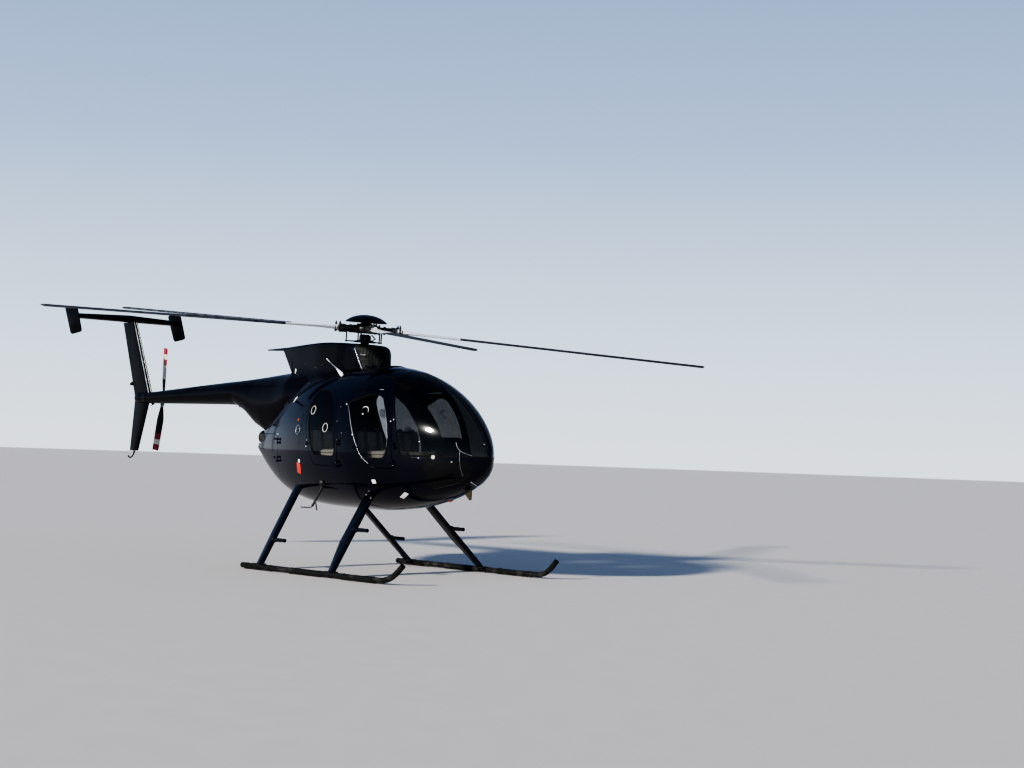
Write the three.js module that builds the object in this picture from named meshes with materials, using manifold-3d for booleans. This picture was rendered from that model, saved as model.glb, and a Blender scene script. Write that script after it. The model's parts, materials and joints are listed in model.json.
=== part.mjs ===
// A light five-blade turbine helicopter, parked on high skids, in millimetres.
// X runs forward, Y to port and Z up. Every size is first given from the foot of the rotor mast on the
// ground; at the end the whole model is moved so that the centre of its overall box is the origin.
import * as THREE from "three";
import { mergeVertices } from "three/addons/utils/BufferGeometryUtils.js";
import Module from "manifold-3d";

const wasm = await Module();
wasm.setup();

// Driving dimensions
const GAP = 0.5; // between pieces that rest on each other
const DOOR_GAP = 7; // round a moving door
const WALL = 30; // cabin wall and door thickness
const GLASS = 8;

const POD = { nose: 2172, wide: 531, tail: -1982, mid: 1381, up: 999, down: 659, half: 696 };
const NOSE_CURVE = {
  up: { power: 1.87, root: 0.636 },
  down: { power: 1.67, root: 0.505 },
  half: { power: 1.5, root: 0.634 },
};
const TAIL_CURVE = {
  up: { power: 3.06, root: 0.82 },
  down: { power: 4.23, root: 1.165 },
  half: { power: 1.74, root: 1.05 },
};
const SECTION_POWER = 2.167; // of the pod's rounded cross-section
const RING_POINTS = 28;

const FIREWALL_X = -480;
const NOSE_SEAM = { x: 1400, z: 1350 };
const FLOOR = { top: 1010, thick: 25, front: 1800 };
const BULKHEAD = { x: -430, thick: 25 };

const HUB_Z = 2826;
const ORIGIN = { x: 800, y: 200 }; // the foot of the mast, seen from the middle of the overall box
const MAST_TILT = THREE.MathUtils.degToRad(3.3);
const BLADES = 5;
const BLADE_PHASE = 46.7; // degrees from straight ahead to the first blade
const BLADE = { root: 430, tip: 4020, chord: 171, thick: 26, droop: 0.8, flapAt: 150 };
const DISC_LEAN = 2; // degrees that the blades' disc leans forward of the mast's square

const TAIL_HUB = { x: -4660, y: 400, z: 1980 };
const TAIL_BLADE = { radius: 702, chord: 122, thick: 16, lean: 7.3, twist: -12, cone: 3.5 };

const SKID = { y: 1198, radius: 31, rear: -640, bend: 1800, shoe: 8 };
const SKID_TIP = { x: 2104, y: 1174, z: 215 };

const HINGE_OUT = 18; // a door's hinge pin stands this far outside the skin
// Each cabin door turns about an upright pin ahead of it. Its rear edge is a curve of
// [distance from the pin, height]; its front edge and its window are drawn from the side, in X and Z.
const DOORS = {
  front: {
    hingeX: 1215,
    curve: [
      [120, 1212], [270, 1216], [352, 1250], [465, 1340], [563, 1500], [636, 1650], [706, 1800], [795, 1935],
      [795, 2015], [720, 2080], [560, 2100],
    ],
    edge: [
      [1195, 1000], [1197, 1300], [1188, 1440], [1160, 1620], [1115, 1780], [1035, 1940], [930, 2070],
      [820, 2140],
    ],
    window: [
      [800, 1325], [1085, 1325], [1122, 1440], [1115, 1600], [1072, 1760], [1005, 1900], [925, 2020],
      [760, 2045], [590, 1990], [445, 1940], [545, 1790], [625, 1640], [700, 1480], [740, 1390],
    ],
  },
  rear: {
    hingeX: 390,
    curve: [
      [330, 1212], [470, 1216], [540, 1245], [618, 1340], [701, 1500], [766, 1680], [800, 1850], [806, 1990],
      [770, 2080], [680, 2128], [480, 2140],
    ],
    edge: [
      [378, 1000], [378, 1420], [362, 1520], [312, 1700], [208, 1945], [105, 2060], [-20, 2125],
      [-140, 2160],
    ],
    window: [
      [-110, 1330], [318, 1325], [318, 1500], [265, 1700], [150, 1935], [35, 2050], [-60, 2090],
      [-230, 2085], [-325, 1990], [-330, 1850], [-300, 1680], [-235, 1500], [-170, 1390],
    ],
  },
};
const ENGINE_DOOR = { hingeX: -1130, front: -1150, low: 700, high: 1560 };

const MATERIALS = {
  navy: [0x0b1020, 0.18, 0.3],
  black: [0x101114, 0.45, 0.2],
  blade: [0x23272d, 0.4, 0.4],
  white: [0xd9dadb, 0.45, 0.1],
  glass: [0x11161c, 0.05, 0.0],
  metal: [0x8d9297, 0.35, 0.9],
  seat: [0x9b968a, 0.75, 0.0],
  trim: [0x2a2b2e, 0.8, 0.0],
  lamp: [0x8a1512, 0.2, 0.0],
};

const materials = Object.fromEntries(
  Object.entries(MATERIALS).map(([name, [color, roughness, metalness]]) => [
    name,
    new THREE.MeshStandardMaterial({ color, roughness, metalness }),
  ]),
);

// Solids

function solidOf(geometry) {
  const bare = geometry.index ? geometry.toNonIndexed() : geometry.clone();
  for (const name of Object.keys(bare.attributes)) {
    if (name !== "position") bare.deleteAttribute(name);
  }
  const merged = mergeVertices(bare, 1e-3);
  const triVerts = new Uint32Array(merged.index.array);
  const vertProperties = merged.attributes.position.array;
  const made = new wasm.Manifold(new wasm.Mesh({ numProp: 3, vertProperties, triVerts }));
  if (made.volume() > 0) return made;
  for (let i = 0; i < triVerts.length; i += 3) {
    [triVerts[i + 1], triVerts[i + 2]] = [triVerts[i + 2], triVerts[i + 1]];
  }
  return new wasm.Manifold(new wasm.Mesh({ numProp: 3, vertProperties, triVerts }));
}

function geometryOf(solid) {
  const mesh = solid.getMesh();
  const position = new Float32Array(mesh.numVert * 3);
  for (let i = 0; i < mesh.numVert; i++) {
    position.set(mesh.vertProperties.subarray(i * mesh.numProp, i * mesh.numProp + 3), i * 3);
  }
  const geometry = new THREE.BufferGeometry();
  geometry.setAttribute("position", new THREE.BufferAttribute(position, 3));
  geometry.setIndex(new THREE.BufferAttribute(new Uint32Array(mesh.triVerts), 1));
  geometry.computeVertexNormals();
  return geometry;
}

const join = (...solids) => solids.reduce((all, one) => all.add(one));
const largest = (solid) => solid.decompose().sort((a, b) => b.volume() - a.volume())[0];

// A skin through rings of points, closed at both ends by fans to the two end points.
function loft(rings, firstTip, lastTip) {
  const count = rings[0].length;
  const position = [];
  const index = [];
  for (const ring of rings) for (const p of ring) position.push(...p);
  position.push(...firstTip, ...lastTip);
  const [first, last] = [rings.length * count, rings.length * count + 1];
  const lastRing = (rings.length - 1) * count;
  for (let j = 0; j < count; j++) {
    const k = (j + 1) % count;
    for (let i = 0; i + 1 < rings.length; i++) {
      const [a, b, c, d] = [i * count + j, i * count + k, (i + 1) * count + k, (i + 1) * count + j];
      index.push(a, b, c, a, c, d);
    }
    index.push(first, k, j, last, lastRing + j, lastRing + k);
  }
  const geometry = new THREE.BufferGeometry();
  geometry.setAttribute("position", new THREE.Float32BufferAttribute(position, 3));
  geometry.setIndex(index);
  return solidOf(geometry);
}

const middle = (ring) => [0, 1, 2].map((axis) => ring.reduce((sum, p) => sum + p[axis], 0) / ring.length);
const loftFlat = (rings) => loft(rings, middle(rings[0]), middle(rings.at(-1)));

const signedPower = (value, power) => Math.sign(value) * Math.abs(value) ** power;

// A closed outline with its corners rounded.
function roundedShape(points, radius) {
  const shape = new THREE.Shape();
  const corners = points.map(([x, y]) => new THREE.Vector2(x, y));
  corners.forEach((corner, i) => {
    const before = corners.at(i - 1);
    const after = corners[(i + 1) % corners.length];
    const cut = (to) => Math.min(radius, corner.distanceTo(to) / 2.05);
    const start = corner.clone().add(before.clone().sub(corner).setLength(cut(before)));
    const end = corner.clone().add(after.clone().sub(corner).setLength(cut(after)));
    if (i) shape.lineTo(start.x, start.y);
    else shape.moveTo(start.x, start.y);
    if (radius) shape.quadraticCurveTo(corner.x, corner.y, end.x, end.y);
  });
  shape.closePath();
  return shape;
}

// An outline drawn in X and Z, filled from y0 to y1.
function sidePrism(points, y0, y1, radius = 0, curveSegments = 5) {
  const settings = { depth: y1 - y0, bevelEnabled: false, curveSegments };
  const geometry = new THREE.ExtrudeGeometry(roundedShape(points, radius), settings);
  return solidOf(geometry.rotateX(Math.PI / 2).translate(0, y1, 0));
}

// An outline drawn in X and Y, filled from z0 to z1.
function planPrism(points, z0, z1, radius = 0, curveSegments = 5) {
  const settings = { depth: z1 - z0, bevelEnabled: false, curveSegments };
  return solidOf(new THREE.ExtrudeGeometry(roundedShape(points, radius), settings).translate(0, 0, z0));
}

function block([x0, y0, z0], [x1, y1, z1]) {
  const box = new THREE.BoxGeometry(x1 - x0, y1 - y0, z1 - z0);
  return solidOf(box.translate((x0 + x1) / 2, (y0 + y1) / 2, (z0 + z1) / 2));
}

function rod(from, to, radius, endRadius = radius, sides = 12) {
  const [a, b] = [new THREE.Vector3(...from), new THREE.Vector3(...to)];
  const along = b.clone().sub(a);
  const up = new THREE.Vector3(0, 1, 0);
  const turn = new THREE.Quaternion().setFromUnitVectors(up, along.clone().normalize());
  const geometry = new THREE.CylinderGeometry(endRadius, radius, along.length(), sides);
  return solidOf(geometry.applyQuaternion(turn).translate(...a.add(b).multiplyScalar(0.5).toArray()));
}

// A profile of [radius, height] turned about an upright axis through (x, y).
function turned(profile, x = 0, y = 0, sides = 32) {
  const points = profile.map(([r, z]) => new THREE.Vector2(r, z));
  const geometry = new THREE.LatheGeometry(points, sides);
  return solidOf(geometry.rotateX(Math.PI / 2).translate(x, y, 0));
}

function tubeAlong(points, radius, steps, sides = 12) {
  const curve = new THREE.CatmullRomCurve3(points.map((p) => new THREE.Vector3(...p)), false, "centripetal");
  const shape = new THREE.Shape().absarc(0, 0, radius, 0, Math.PI * 2);
  const settings = { steps, extrudePath: curve, curveSegments: sides / 2, bevelEnabled: false };
  return solidOf(new THREE.ExtrudeGeometry(shape, settings));
}

// Adding pieces to the model

const helicopter = new THREE.Group();
helicopter.name = "helicopter";

function add(name, solid, material, parent = helicopter) {
  const mesh = new THREE.Mesh(geometryOf(solid), materials[material]);
  mesh.name = name;
  parent.add(mesh);
  return mesh;
}

const SIDES = { left: 1, right: -1 };
const bothSides = (make) => Object.entries(SIDES).forEach(([side, sign]) => make(side, sign));

// The pod

function podSize(x, inset = 0) {
  const front = POD.nose - inset;
  const back = POD.tail + inset;
  const curve = (share, { power, root }) => Math.max(0, 1 - Math.min(1, share) ** power) ** root;
  const ahead = x >= POD.wide;
  const share = ahead ? (x - POD.wide) / (front - POD.wide) : (POD.wide - x) / (POD.wide - back);
  const of = (name) => (POD[name] - inset) * curve(share, (ahead ? NOSE_CURVE : TAIL_CURVE)[name]);
  return { half: of("half"), top: POD.mid + of("up"), bottom: POD.mid - of("down") };
}

function podRing(x, inset) {
  const size = podSize(x, inset);
  const power = 2 / SECTION_POWER;
  return Array.from({ length: RING_POINTS }, (_, i) => {
    const angle = (2 * Math.PI * (i + 0.5)) / RING_POINTS;
    const y = size.half * signedPower(Math.cos(angle), power);
    const rise = Math.sin(angle) > 0 ? size.top - POD.mid : POD.mid - size.bottom;
    return [x, y, POD.mid + rise * signedPower(Math.sin(angle), power)];
  });
}

function podSolid(inset) {
  const front = POD.nose - inset;
  const back = POD.tail + inset;
  const quarter = (steps, last) =>
    Array.from({ length: steps }, (_, i) => Math.sin(((i + 1) / steps) * last));
  const rings = [
    ...quarter(7, 1.49).reverse().map((s) => podRing(POD.wide + s * (front - POD.wide), inset)),
    podRing(POD.wide, inset),
    ...quarter(8, 1.46).map((s) => podRing(POD.wide - s * (POD.wide - back), inset)),
  ];
  return loft(rings, [front, 0, POD.mid], [back, 0, POD.mid]);
}

const podOuter = podSolid(0);
const podShell = podOuter.subtract(podSolid(WALL));
const podSkin = podOuter.subtract(podSolid(GLASS));
const podInside = podSolid(WALL + 4);
const podCovered = podSolid(-GAP);

const BIG = 6000;
const halfSpace = ({ x0 = -BIG, x1 = BIG, y0 = -BIG, y1 = BIG, z0 = -BIG, z1 = BIG }) =>
  block([x0, y0, z0], [x1, y1, z1]);

// A door's space: ahead of it a slanting edge, behind it a curve turned about the hinge pin, so that it
// can swing.
function doorSpace({ hingeX, curve, edge }, sign, shrink) {
  const hingeY = sign * (podSize(hingeX).half + HINGE_OUT);
  const line = new THREE.SplineCurve(curve.map(([r, z]) => new THREE.Vector2(r, z)));
  const rear = Array.from({ length: 15 }, (_, i) => {
    const [p, along] = [line.getPoint(i / 14), line.getTangent(i / 14)];
    return [p.x - shrink * along.y, p.y + shrink * along.x];
  });
  const profile = [[0, rear[0][1]], ...rear, [0, rear.at(-1)[1]]];
  const aft = hingeX - 1200;
  const face = [[aft, 1000], ...edge.map(([x, z]) => [x - shrink * 1.2, z]), [aft, 2200]];
  const [y0, y1] = sign > 0 ? [60, 900] : [-900, -60];
  return turned(profile, hingeX, hingeY, 60).intersect(sidePrism(face, y0, y1));
}

function shrunk(points, by) {
  const count = points.length;
  const centre = points.reduce((sum, [x, z]) => [sum[0] + x / count, sum[1] + z / count], [0, 0]);
  return points.map(([x, z]) => {
    const [dx, dz] = [x - centre[0], z - centre[1]];
    const share = 1 - by / Math.hypot(dx, dz);
    return [centre[0] + dx * share, centre[1] + dz * share];
  });
}

const sideRange = (sign) => (sign > 0 ? [100, 900] : [-900, -100]);

// A hinge in two halves on one upright pin: the door's knuckle with its leaf running aft on to the
// panel, and the frame's knuckle below it with its leaf running forward on to the fixed skin.
const KNUCKLE = { radius: 8, length: 46, step: 52 };
const HINGES = {
  front: { heights: [1275, 1470], doorReach: 75, foot: 24, depth: 34, frameDepth: 45 },
  rear: { heights: [1240, 1490], doorReach: 68, foot: 24, depth: 44, frameDepth: 42 },
  engine: { heights: [1260, 1480], doorReach: 70, foot: 34, depth: 62, frameDepth: 50 },
};
function hinge(hingeX, sign, height, { doorReach, foot, depth, frameDepth }) {
  const pinY = podSize(hingeX).half + HINGE_OUT;
  const slab = (x0, x1, z, deep) => {
    const across = [sign * (pinY + 3), sign * (pinY - deep)].sort((a, b) => a - b);
    return block([x0, across[0], z], [x1, across[1], z + KNUCKLE.length]);
  };
  const at = (z) => [hingeX, sign * pinY, z];
  const pin = (z) => rod(at(z), at(z + KNUCKLE.length), KNUCKLE.radius, KNUCKLE.radius, 8);
  const low = height - KNUCKLE.step;
  const footX = hingeX - doorReach;
  return {
    door: join(pin(height), slab(footX, hingeX, height, 4), slab(footX, footX + foot, height, depth)),
    frame: join(pin(low), slab(hingeX, hingeX + 30, low, frameDepth)),
  };
}
const hingesOf = (name, hingeX, sign) =>
  HINGES[name].heights.map((z) => hinge(hingeX, sign, z, HINGES[name]));

const WINDOW_CORNER = 45;
const openings = [];
const cabinHinges = [];
bothSides((side, sign) => {
  for (const [place, door] of Object.entries(DOORS)) {
    openings.push(doorSpace(door, sign, 0));
    const window = (by) => sidePrism(shrunk(door.window, by), ...sideRange(sign), WINDOW_CORNER, 3);
    const hinges = hingesOf(place, door.hingeX, sign);
    cabinHinges.push(...hinges.map((one) => one.frame));
    const panel = podShell.intersect(doorSpace(door, sign, DOOR_GAP)).subtract(window(0));
    add(`door_${place}_${side}`, join(largest(panel), ...hinges.map((one) => one.door)), "navy");
    add(`window_${place}_${side}`, podSkin.intersect(window(GAP * 2)), "glass");
  }
});

// Windshield, in two halves, and the chin windows below it
const WINDSHIELD = [
  [2400, 1372], [1290, 1372], [1237, 1534], [1172, 1755], [1078, 1980], [1000, 2110], [950, 2260],
  [940, 2420], [2400, 2420],
];
const WINDSHIELD_POST = 26; // half width of the centre post
const CHIN = [[1560, 1000], [1870, 1080], [2030, 1200], [2050, 1310], [1560, 1310]];

const sideOf = (sign, from, to = 900) => (sign > 0 ? [from, to] : [-to, -from]);
const chinHoles = [];
bothSides((side, sign) => {
  openings.push(sidePrism(WINDSHIELD, ...sideOf(sign, WINDSHIELD_POST), 40));
  const pane = sidePrism(shrunk(WINDSHIELD, GAP * 2), ...sideOf(sign, WINDSHIELD_POST + GAP), 40);
  add(`windshield_${side}`, podSkin.intersect(pane), "glass");
  chinHoles.push(sidePrism(CHIN, ...sideOf(sign, 70), 60));
  const chin = sidePrism(shrunk(CHIN, GAP * 2), ...sideOf(sign, 70 + GAP), 60);
  add(`chin_window_${side}`, podSkin.intersect(chin), "glass");
});

const noseSpace = (by) => halfSpace({ x0: NOSE_SEAM.x + by, z1: NOSE_SEAM.z - by });
add("nose_hull", podShell.intersect(noseSpace(GAP)).subtract(join(...chinHoles)), "navy");

const cabinBox = halfSpace({ x0: FIREWALL_X + GAP });
const cabin = podShell.intersect(cabinBox).subtract(noseSpace(0)).subtract(join(...openings));
add("cabin_hull", join(cabin, ...cabinHinges), "navy");

// The engine bay behind the firewall, with its two clamshell doors and the exhaust
const EXHAUST = { from: [-1270, 0, 1400], to: [-1870, 0, 1520], radius: 84, wall: 6 };
const onPipe = (share) => EXHAUST.from.map((start, i) => start + (EXHAUST.to[i] - start) * share);
const pipeRod = (from, to, radius) => rod(onPipe(from), onPipe(to), radius, radius, 24);
const exhaustHole = pipeRod(0, 1.6, EXHAUST.radius + 9);
const engineDoorSpace = (sign, by) => {
  const [y0, y1] = sign > 0 ? [by / 2, 900] : [-900, -by / 2];
  return halfSpace({ x1: ENGINE_DOOR.front - by, y0, y1, z0: ENGINE_DOOR.low, z1: ENGINE_DOOR.high - by });
};
const aftShell = podShell.intersect(halfSpace({ x1: FIREWALL_X }));
const engineDoorway = halfSpace({ x1: ENGINE_DOOR.front, z0: ENGINE_DOOR.low, z1: ENGINE_DOOR.high });
const engineHinges = [];
bothSides((side, sign) => {
  const hinges = hingesOf("engine", ENGINE_DOOR.hingeX, sign);
  engineHinges.push(...hinges.map((one) => one.frame));
  const panel = podShell.intersect(engineDoorSpace(sign, DOOR_GAP)).subtract(exhaustHole);
  add(`engine_door_${side}`, join(panel, ...hinges.map((one) => one.door)), "navy");
});
add("aft_hull", join(aftShell.subtract(engineDoorway).subtract(exhaustHole), ...engineHinges), "navy");
const bore = pipeRod(0.08, 1.2, EXHAUST.radius - EXHAUST.wall);
add("exhaust_pipe", pipeRod(0, 1, EXHAUST.radius).subtract(bore), "metal");

const ENGINE = { size: [640, 360, 440], centre: [-970, 0, 1430], lean: -0.35 };
const engineBox = new THREE.BoxGeometry(...ENGINE.size).rotateY(ENGINE.lean).translate(...ENGINE.centre);
const engineBlock = solidOf(engineBox).subtract(pipeRod(-0.001, 1, EXHAUST.radius + GAP));
const ENGINE_BEARERS = [[140, 1260], [140, 1480]]; // [y, z], on both sides
const bearers = ENGINE_BEARERS.flatMap(([y, z]) =>
  [y, -y].map((across) => rod([-900, across, z], [BULKHEAD.x - BULKHEAD.thick - GAP, across, z], 16, 16, 8)),
);
add("engine", join(engineBlock, ...bearers), "metal");

// Cabin inside
const floorSlab = block([FIREWALL_X + 5, -800, FLOOR.top - FLOOR.thick], [FLOOR.front, 800, FLOOR.top]);
add("cabin_floor", podInside.intersect(floorSlab), "trim");
const bulkheadSlab = block([BULKHEAD.x - BULKHEAD.thick, -800, FLOOR.top + GAP], [BULKHEAD.x, 800, 2500]);
add("rear_bulkhead", podInside.intersect(bulkheadSlab), "trim");

// A seat: a box on the floor, a cushion on it and a leaning back, drawn from the side.
const FRONT_SEAT = [[380, 0], [400, 640], [490, 640], [560, 330], [960, 350], [980, 280], [940, 0]];
const REAR_SEAT = [[-420, 0], [-420, 640], [-340, 640], [-250, 330], [140, 350], [160, 280], [120, 0]];
const seatSolid = (points, y0, y1) =>
  sidePrism(points.map(([x, z]) => [x, FLOOR.top + GAP + z]), y0, y1, 35, 3);
bothSides((side, sign) => {
  add(`seat_front_${side}`, podInside.intersect(seatSolid(FRONT_SEAT, ...sideOf(sign, 60, 500))), "seat");
});
add("seat_rear", podInside.intersect(seatSolid(REAR_SEAT, -500, 500)), "seat");

const PEDESTAL = [[1370, 0], [1520, 0], [1620, 300], [1600, 520], [1500, 560], [1450, 520], [1440, 300]];
const lifted = (points) => points.map(([x, z]) => [x, FLOOR.top + GAP + z]);
add("instrument_console", sidePrism(lifted(PEDESTAL), -150, 150, 30, 3), "black");
bothSides((side, sign) => {
  const foot = [1230, sign * 285, FLOOR.top + 4];
  const grip = rod([1180, sign * 285, 1295], [1130, sign * 285, 1390], 16);
  const stick = join(rod(foot, [1180, sign * 285, 1300], 12), grip);
  add(`cyclic_${side}`, stick, "black");
});

// Tail boom: oval sections from the pod to the tail gearbox
const BOOM = [
  // [x, top, bottom, half width]
  [-650, 2322, 1850, 262],
  [-900, 2336, 1750, 285],
  [-1150, 2330, 1700, 290],
  [-1400, 2304, 1575, 255],
  [-1750, 2267, 1578, 215],
  [-1950, 2248, 1660, 190],
  [-2170, 2228, 1812, 170],
  [-2380, 2212, 1905, 155],
  [-2600, 2198, 1912, 145],
  [-3260, 2148, 1912, 118],
  [-4400, 2058, 1912, 73],
];
const BOOM_WALL = 6;
const BOOM_POINTS = 18;
function boomSolid(inset, stretch) {
  const rings = BOOM.map(([x, top, bottom, half], i) => {
    const ends = i === 0 ? stretch : i === BOOM.length - 1 ? -stretch : 0;
    const [mid, rise] = [(top + bottom) / 2, (top - bottom) / 2 - inset];
    return Array.from({ length: BOOM_POINTS }, (_, j) => {
      const angle = (2 * Math.PI * j) / BOOM_POINTS;
      return [x + ends, (half - inset) * Math.cos(angle), mid + rise * Math.sin(angle)];
    });
  });
  return loftFlat(rings);
}
const boom = boomSolid(0, 0).subtract(boomSolid(BOOM_WALL, 20)).subtract(podCovered);
add("tail_boom", largest(boom), "navy");
const boomCovered = boomSolid(-3 * GAP, 4);

// Fairings on the roof: a long one running aft to the boom and, ahead of a slanting split, the one round
// the engine's air intake. Both stand on a thin pad that follows the roof, and the long one flares out at
// its foot.
const FAIRING_SIDE = [
  [-1320, 1950], [-1320, 2300], [-1475, 2585], [-1840, 2592], [-1840, 2604], [-550, 2664], [-100, 2652],
  [190, 2628], [290, 2592], [355, 2515], [375, 2200], [375, 1950],
];
const FAIRING_PLAN = [
  // [x, half width]
  [-1860, 8], [-1500, 45], [-1100, 130], [-600, 215], [-100, 240], [160, 235], [280, 185], [350, 115],
  [380, 30],
];
const PAD = {
  thick: 14,
  plan: [
    [-1150, 270], [-824, 339], [-683, 350], [-284, 336], [143, 310], [422, 322], [515, 290], [570, 215],
    [585, 90],
  ],
};
const FLARE_TOP = 2335;
const FLARE = [
  // [x, half width at the top, half width at the foot, height of the foot]
  [-1200, 110, 280, 1990],
  [-1040, 150, 300, 1940],
  [-824, 190, 339, 1988],
  [-683, 208, 350, 2052],
  [-494, 226, 342, 2149],
  [-284, 236, 336, 2210],
  [40, 240, 318, 2270],
];
const SPLIT = [[15, 2800], [15, 2600], [150, 2385], [150, 1800]];
const MAST_WELL = 66;
// A point on the mast's leaning line, at a distance up it from the hub's centre.
const onMast = (up) => [up * Math.sin(MAST_TILT), 0, HUB_Z + up * Math.cos(MAST_TILT)];
const mirrored = (plan) => [...plan, ...plan.map(([x, y]) => [x, -y]).reverse()];
const planSpace = (plan, radius = 0) => planPrism(mirrored(plan), 1850, 2800, radius, 3);
const flare = loftFlat(
  FLARE.map(([x, top, foot, z]) => {
    const half = [[x, top, FLARE_TOP], [x, foot, z], [x, foot * 0.85, z - 160]];
    return [...half, ...half.map(([, y, height]) => [x, -y, height]).reverse()];
  }),
);
const fairings = join(
  sidePrism(FAIRING_SIDE, -400, 400).intersect(planSpace(FAIRING_PLAN)),
  podSolid(-PAD.thick).intersect(planSpace(PAD.plan)),
  flare,
)
  .subtract(podCovered)
  .subtract(boomCovered)
  .subtract(rod(onMast(-520), onMast(60), MAST_WELL, MAST_WELL, 20));
const behindSplit = sidePrism([...SPLIT, [-3000, 1800], [-3000, 2800]], -500, 500);
const splitFace = SPLIT.map(([x, z]) => [x + GAP, z]);
const aheadOfSplit = sidePrism([...splitFace, [900, 1800], [900, 2800]], -500, 500);
add("mast_fairing", largest(fairings.intersect(behindSplit)), "navy");
add("intake_fairing", largest(fairings.intersect(aheadOfSplit)), "black");

// Tail gearbox, fins and tailplane
const GEARBOX = {
  z: 1985,
  rings: [[-4400 - GAP, 72], [-4530, 74], [-4640, 68], [-4695, 40]], // [x, radius]
};
const gearboxSolid = (grown) =>
  loftFlat(
    GEARBOX.rings.map(([x, r], i) =>
      Array.from({ length: 20 }, (_, j) => {
        const angle = (2 * Math.PI * j) / 20;
        const size = r + grown;
        return [i ? x - grown : x + grown, size * Math.cos(angle), GEARBOX.z + size * Math.sin(angle)];
      }),
    ),
  );
const shaftAt = (y) => [TAIL_HUB.x, y, TAIL_HUB.z];
const shaftHousing = rod(shaftAt(0), shaftAt(190), 52, 42, 16);
const outputShaft = rod(shaftAt(180), shaftAt(TAIL_HUB.y - 41), 26, 26, 12);
add("tail_gearbox", join(gearboxSolid(0), shaftHousing, outputShaft), "navy");
const shaftCovered = rod(shaftAt(-1), shaftAt(191), 52 + GAP, 42 + GAP, 16);
const tailCovered = join(gearboxSolid(GAP), shaftCovered).add(boomSolid(-GAP, 4));

// A thin wing section between two chords; each chord is [front, back, thickness, height or span].
function foil(front, back, thick, place, points = 12) {
  return Array.from({ length: points }, (_, j) => {
    const angle = (2 * Math.PI * j) / points;
    const share = (1 - Math.cos(angle)) / 2;
    const bulge = thick * Math.sin(angle) * (1 - 0.75 * share) * 0.75;
    return place(front + (back - front) * share, bulge);
  });
}
const upright = (z) => (x, y) => [x, y, z];
// Both fins run into the gearbox and the end of the boom.
const FIN_TOP = [[-4310, -4737, 46, 2000], [-4755, -5086, 36, 3023 - 12]];
const FIN_LOW = [[-4375, -4732, 46, 1970], [-4610, -4810, 30, 1270]];
const finRing = ([front, back, thick, z]) => foil(front, back, thick, upright(z));
const fin = (chords) => largest(loftFlat(chords.map(finRing)).subtract(tailCovered));
add("fin_upper", fin(FIN_TOP), "navy");
add("fin_lower", fin(FIN_LOW), "navy");

const TAILPLANE = { front: -4875, back: -5165, thick: 66, z: 3048, half: 822 };
const spanwise = (y) => (x, z) => [x, y, TAILPLANE.z + z];
const planeChord = (y) => foil(TAILPLANE.front, TAILPLANE.back, TAILPLANE.thick, spanwise(y));
add("tailplane", loftFlat([planeChord(-TAILPLANE.half), planeChord(TAILPLANE.half)]), "navy");
const END_PLATE = [[-5240, 3171], [-4942, 3177], [-4800, 2834], [-5062, 2797]];
bothSides((side, sign) => {
  const inner = TAILPLANE.half + GAP;
  add(`end_plate_${side}`, sidePrism(END_PLATE, ...sideOf(sign, inner, inner + 14), 40, 3), "navy");
});
const BUMPER = [[-4700, 0, 1262], [-4722, 0, 1215], [-4765, 0, 1180], [-4815, 0, 1178], [-4840, 0, 1200]];
const bumper = tubeAlong(BUMPER, 9, 8, 6);
add("tail_bumper", join(bumper, rod([-4700, 0, 1269], [-4700, 0, 1240], 14, 12, 10)), "black");

// Landing gear: two skid tubes on four faired legs, each leg with a step peg
const SKID_TOP = SKID.shoe + 2 * SKID.radius;
const LEGS = {
  // top and foot on the port side, the outer end of the step, and the leg's reach ahead and behind of the
  // line from top to foot at its top, middle and foot
  front: {
    top: [681, 479, 800],
    foot: [899, 1137, SKID_TOP + 2],
    peg: [1014, 739, 519],
    reach: [[60, 108], [58, 118], [54, 50]],
  },
  rear: {
    top: [-665, 401, 905],
    foot: [-376, 1134, SKID_TOP + 2],
    peg: [-217, 915, 335],
    reach: [[60, 82], [58, 79], [54, 64]],
  },
};
const LEG = { thick: 44, peg: 23 };
function legSolid({ top, foot, peg, reach }) {
  const [a, b] = [new THREE.Vector3(...top), new THREE.Vector3(...foot)];
  const along = b.clone().sub(a).normalize();
  const chordwise = new THREE.Vector3(1, 0, 0).addScaledVector(along, -along.x).normalize();
  const across = new THREE.Vector3().crossVectors(along, chordwise);
  const ring = (centre, [front, back]) =>
    foil(front, -back, LEG.thick, (ahead, out) =>
      centre.clone().addScaledVector(chordwise, ahead).addScaledVector(across, out).toArray(),
    );
  const start = a.clone().addScaledVector(along, -130);
  const half = a.clone().lerp(b, 0.55);
  const end = b.clone().addScaledVector(along, 60);
  const wing = loftFlat([ring(start, reach[0]), ring(half, reach[1]), ring(end, reach[2])]);
  const leg = wing.intersect(halfSpace({ z0: foot[2] }));
  const share = (top[2] - peg[2]) / (top[2] - foot[2]);
  const root = [0, 1, 2].map((i) => top[i] + (foot[i] - top[i]) * share);
  return join(leg, rod([root[0], root[1], peg[2]], peg, LEG.peg, LEG.peg, 12));
}
const flip = (solid, sign) => (sign > 0 ? solid : solidOf(geometryOf(solid).scale(1, -1, 1)));
const legPorts = Object.entries(LEGS).map(([place, leg]) => [place, legSolid(leg)]);
const skidCentre = SKID.radius + SKID.shoe;
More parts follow.
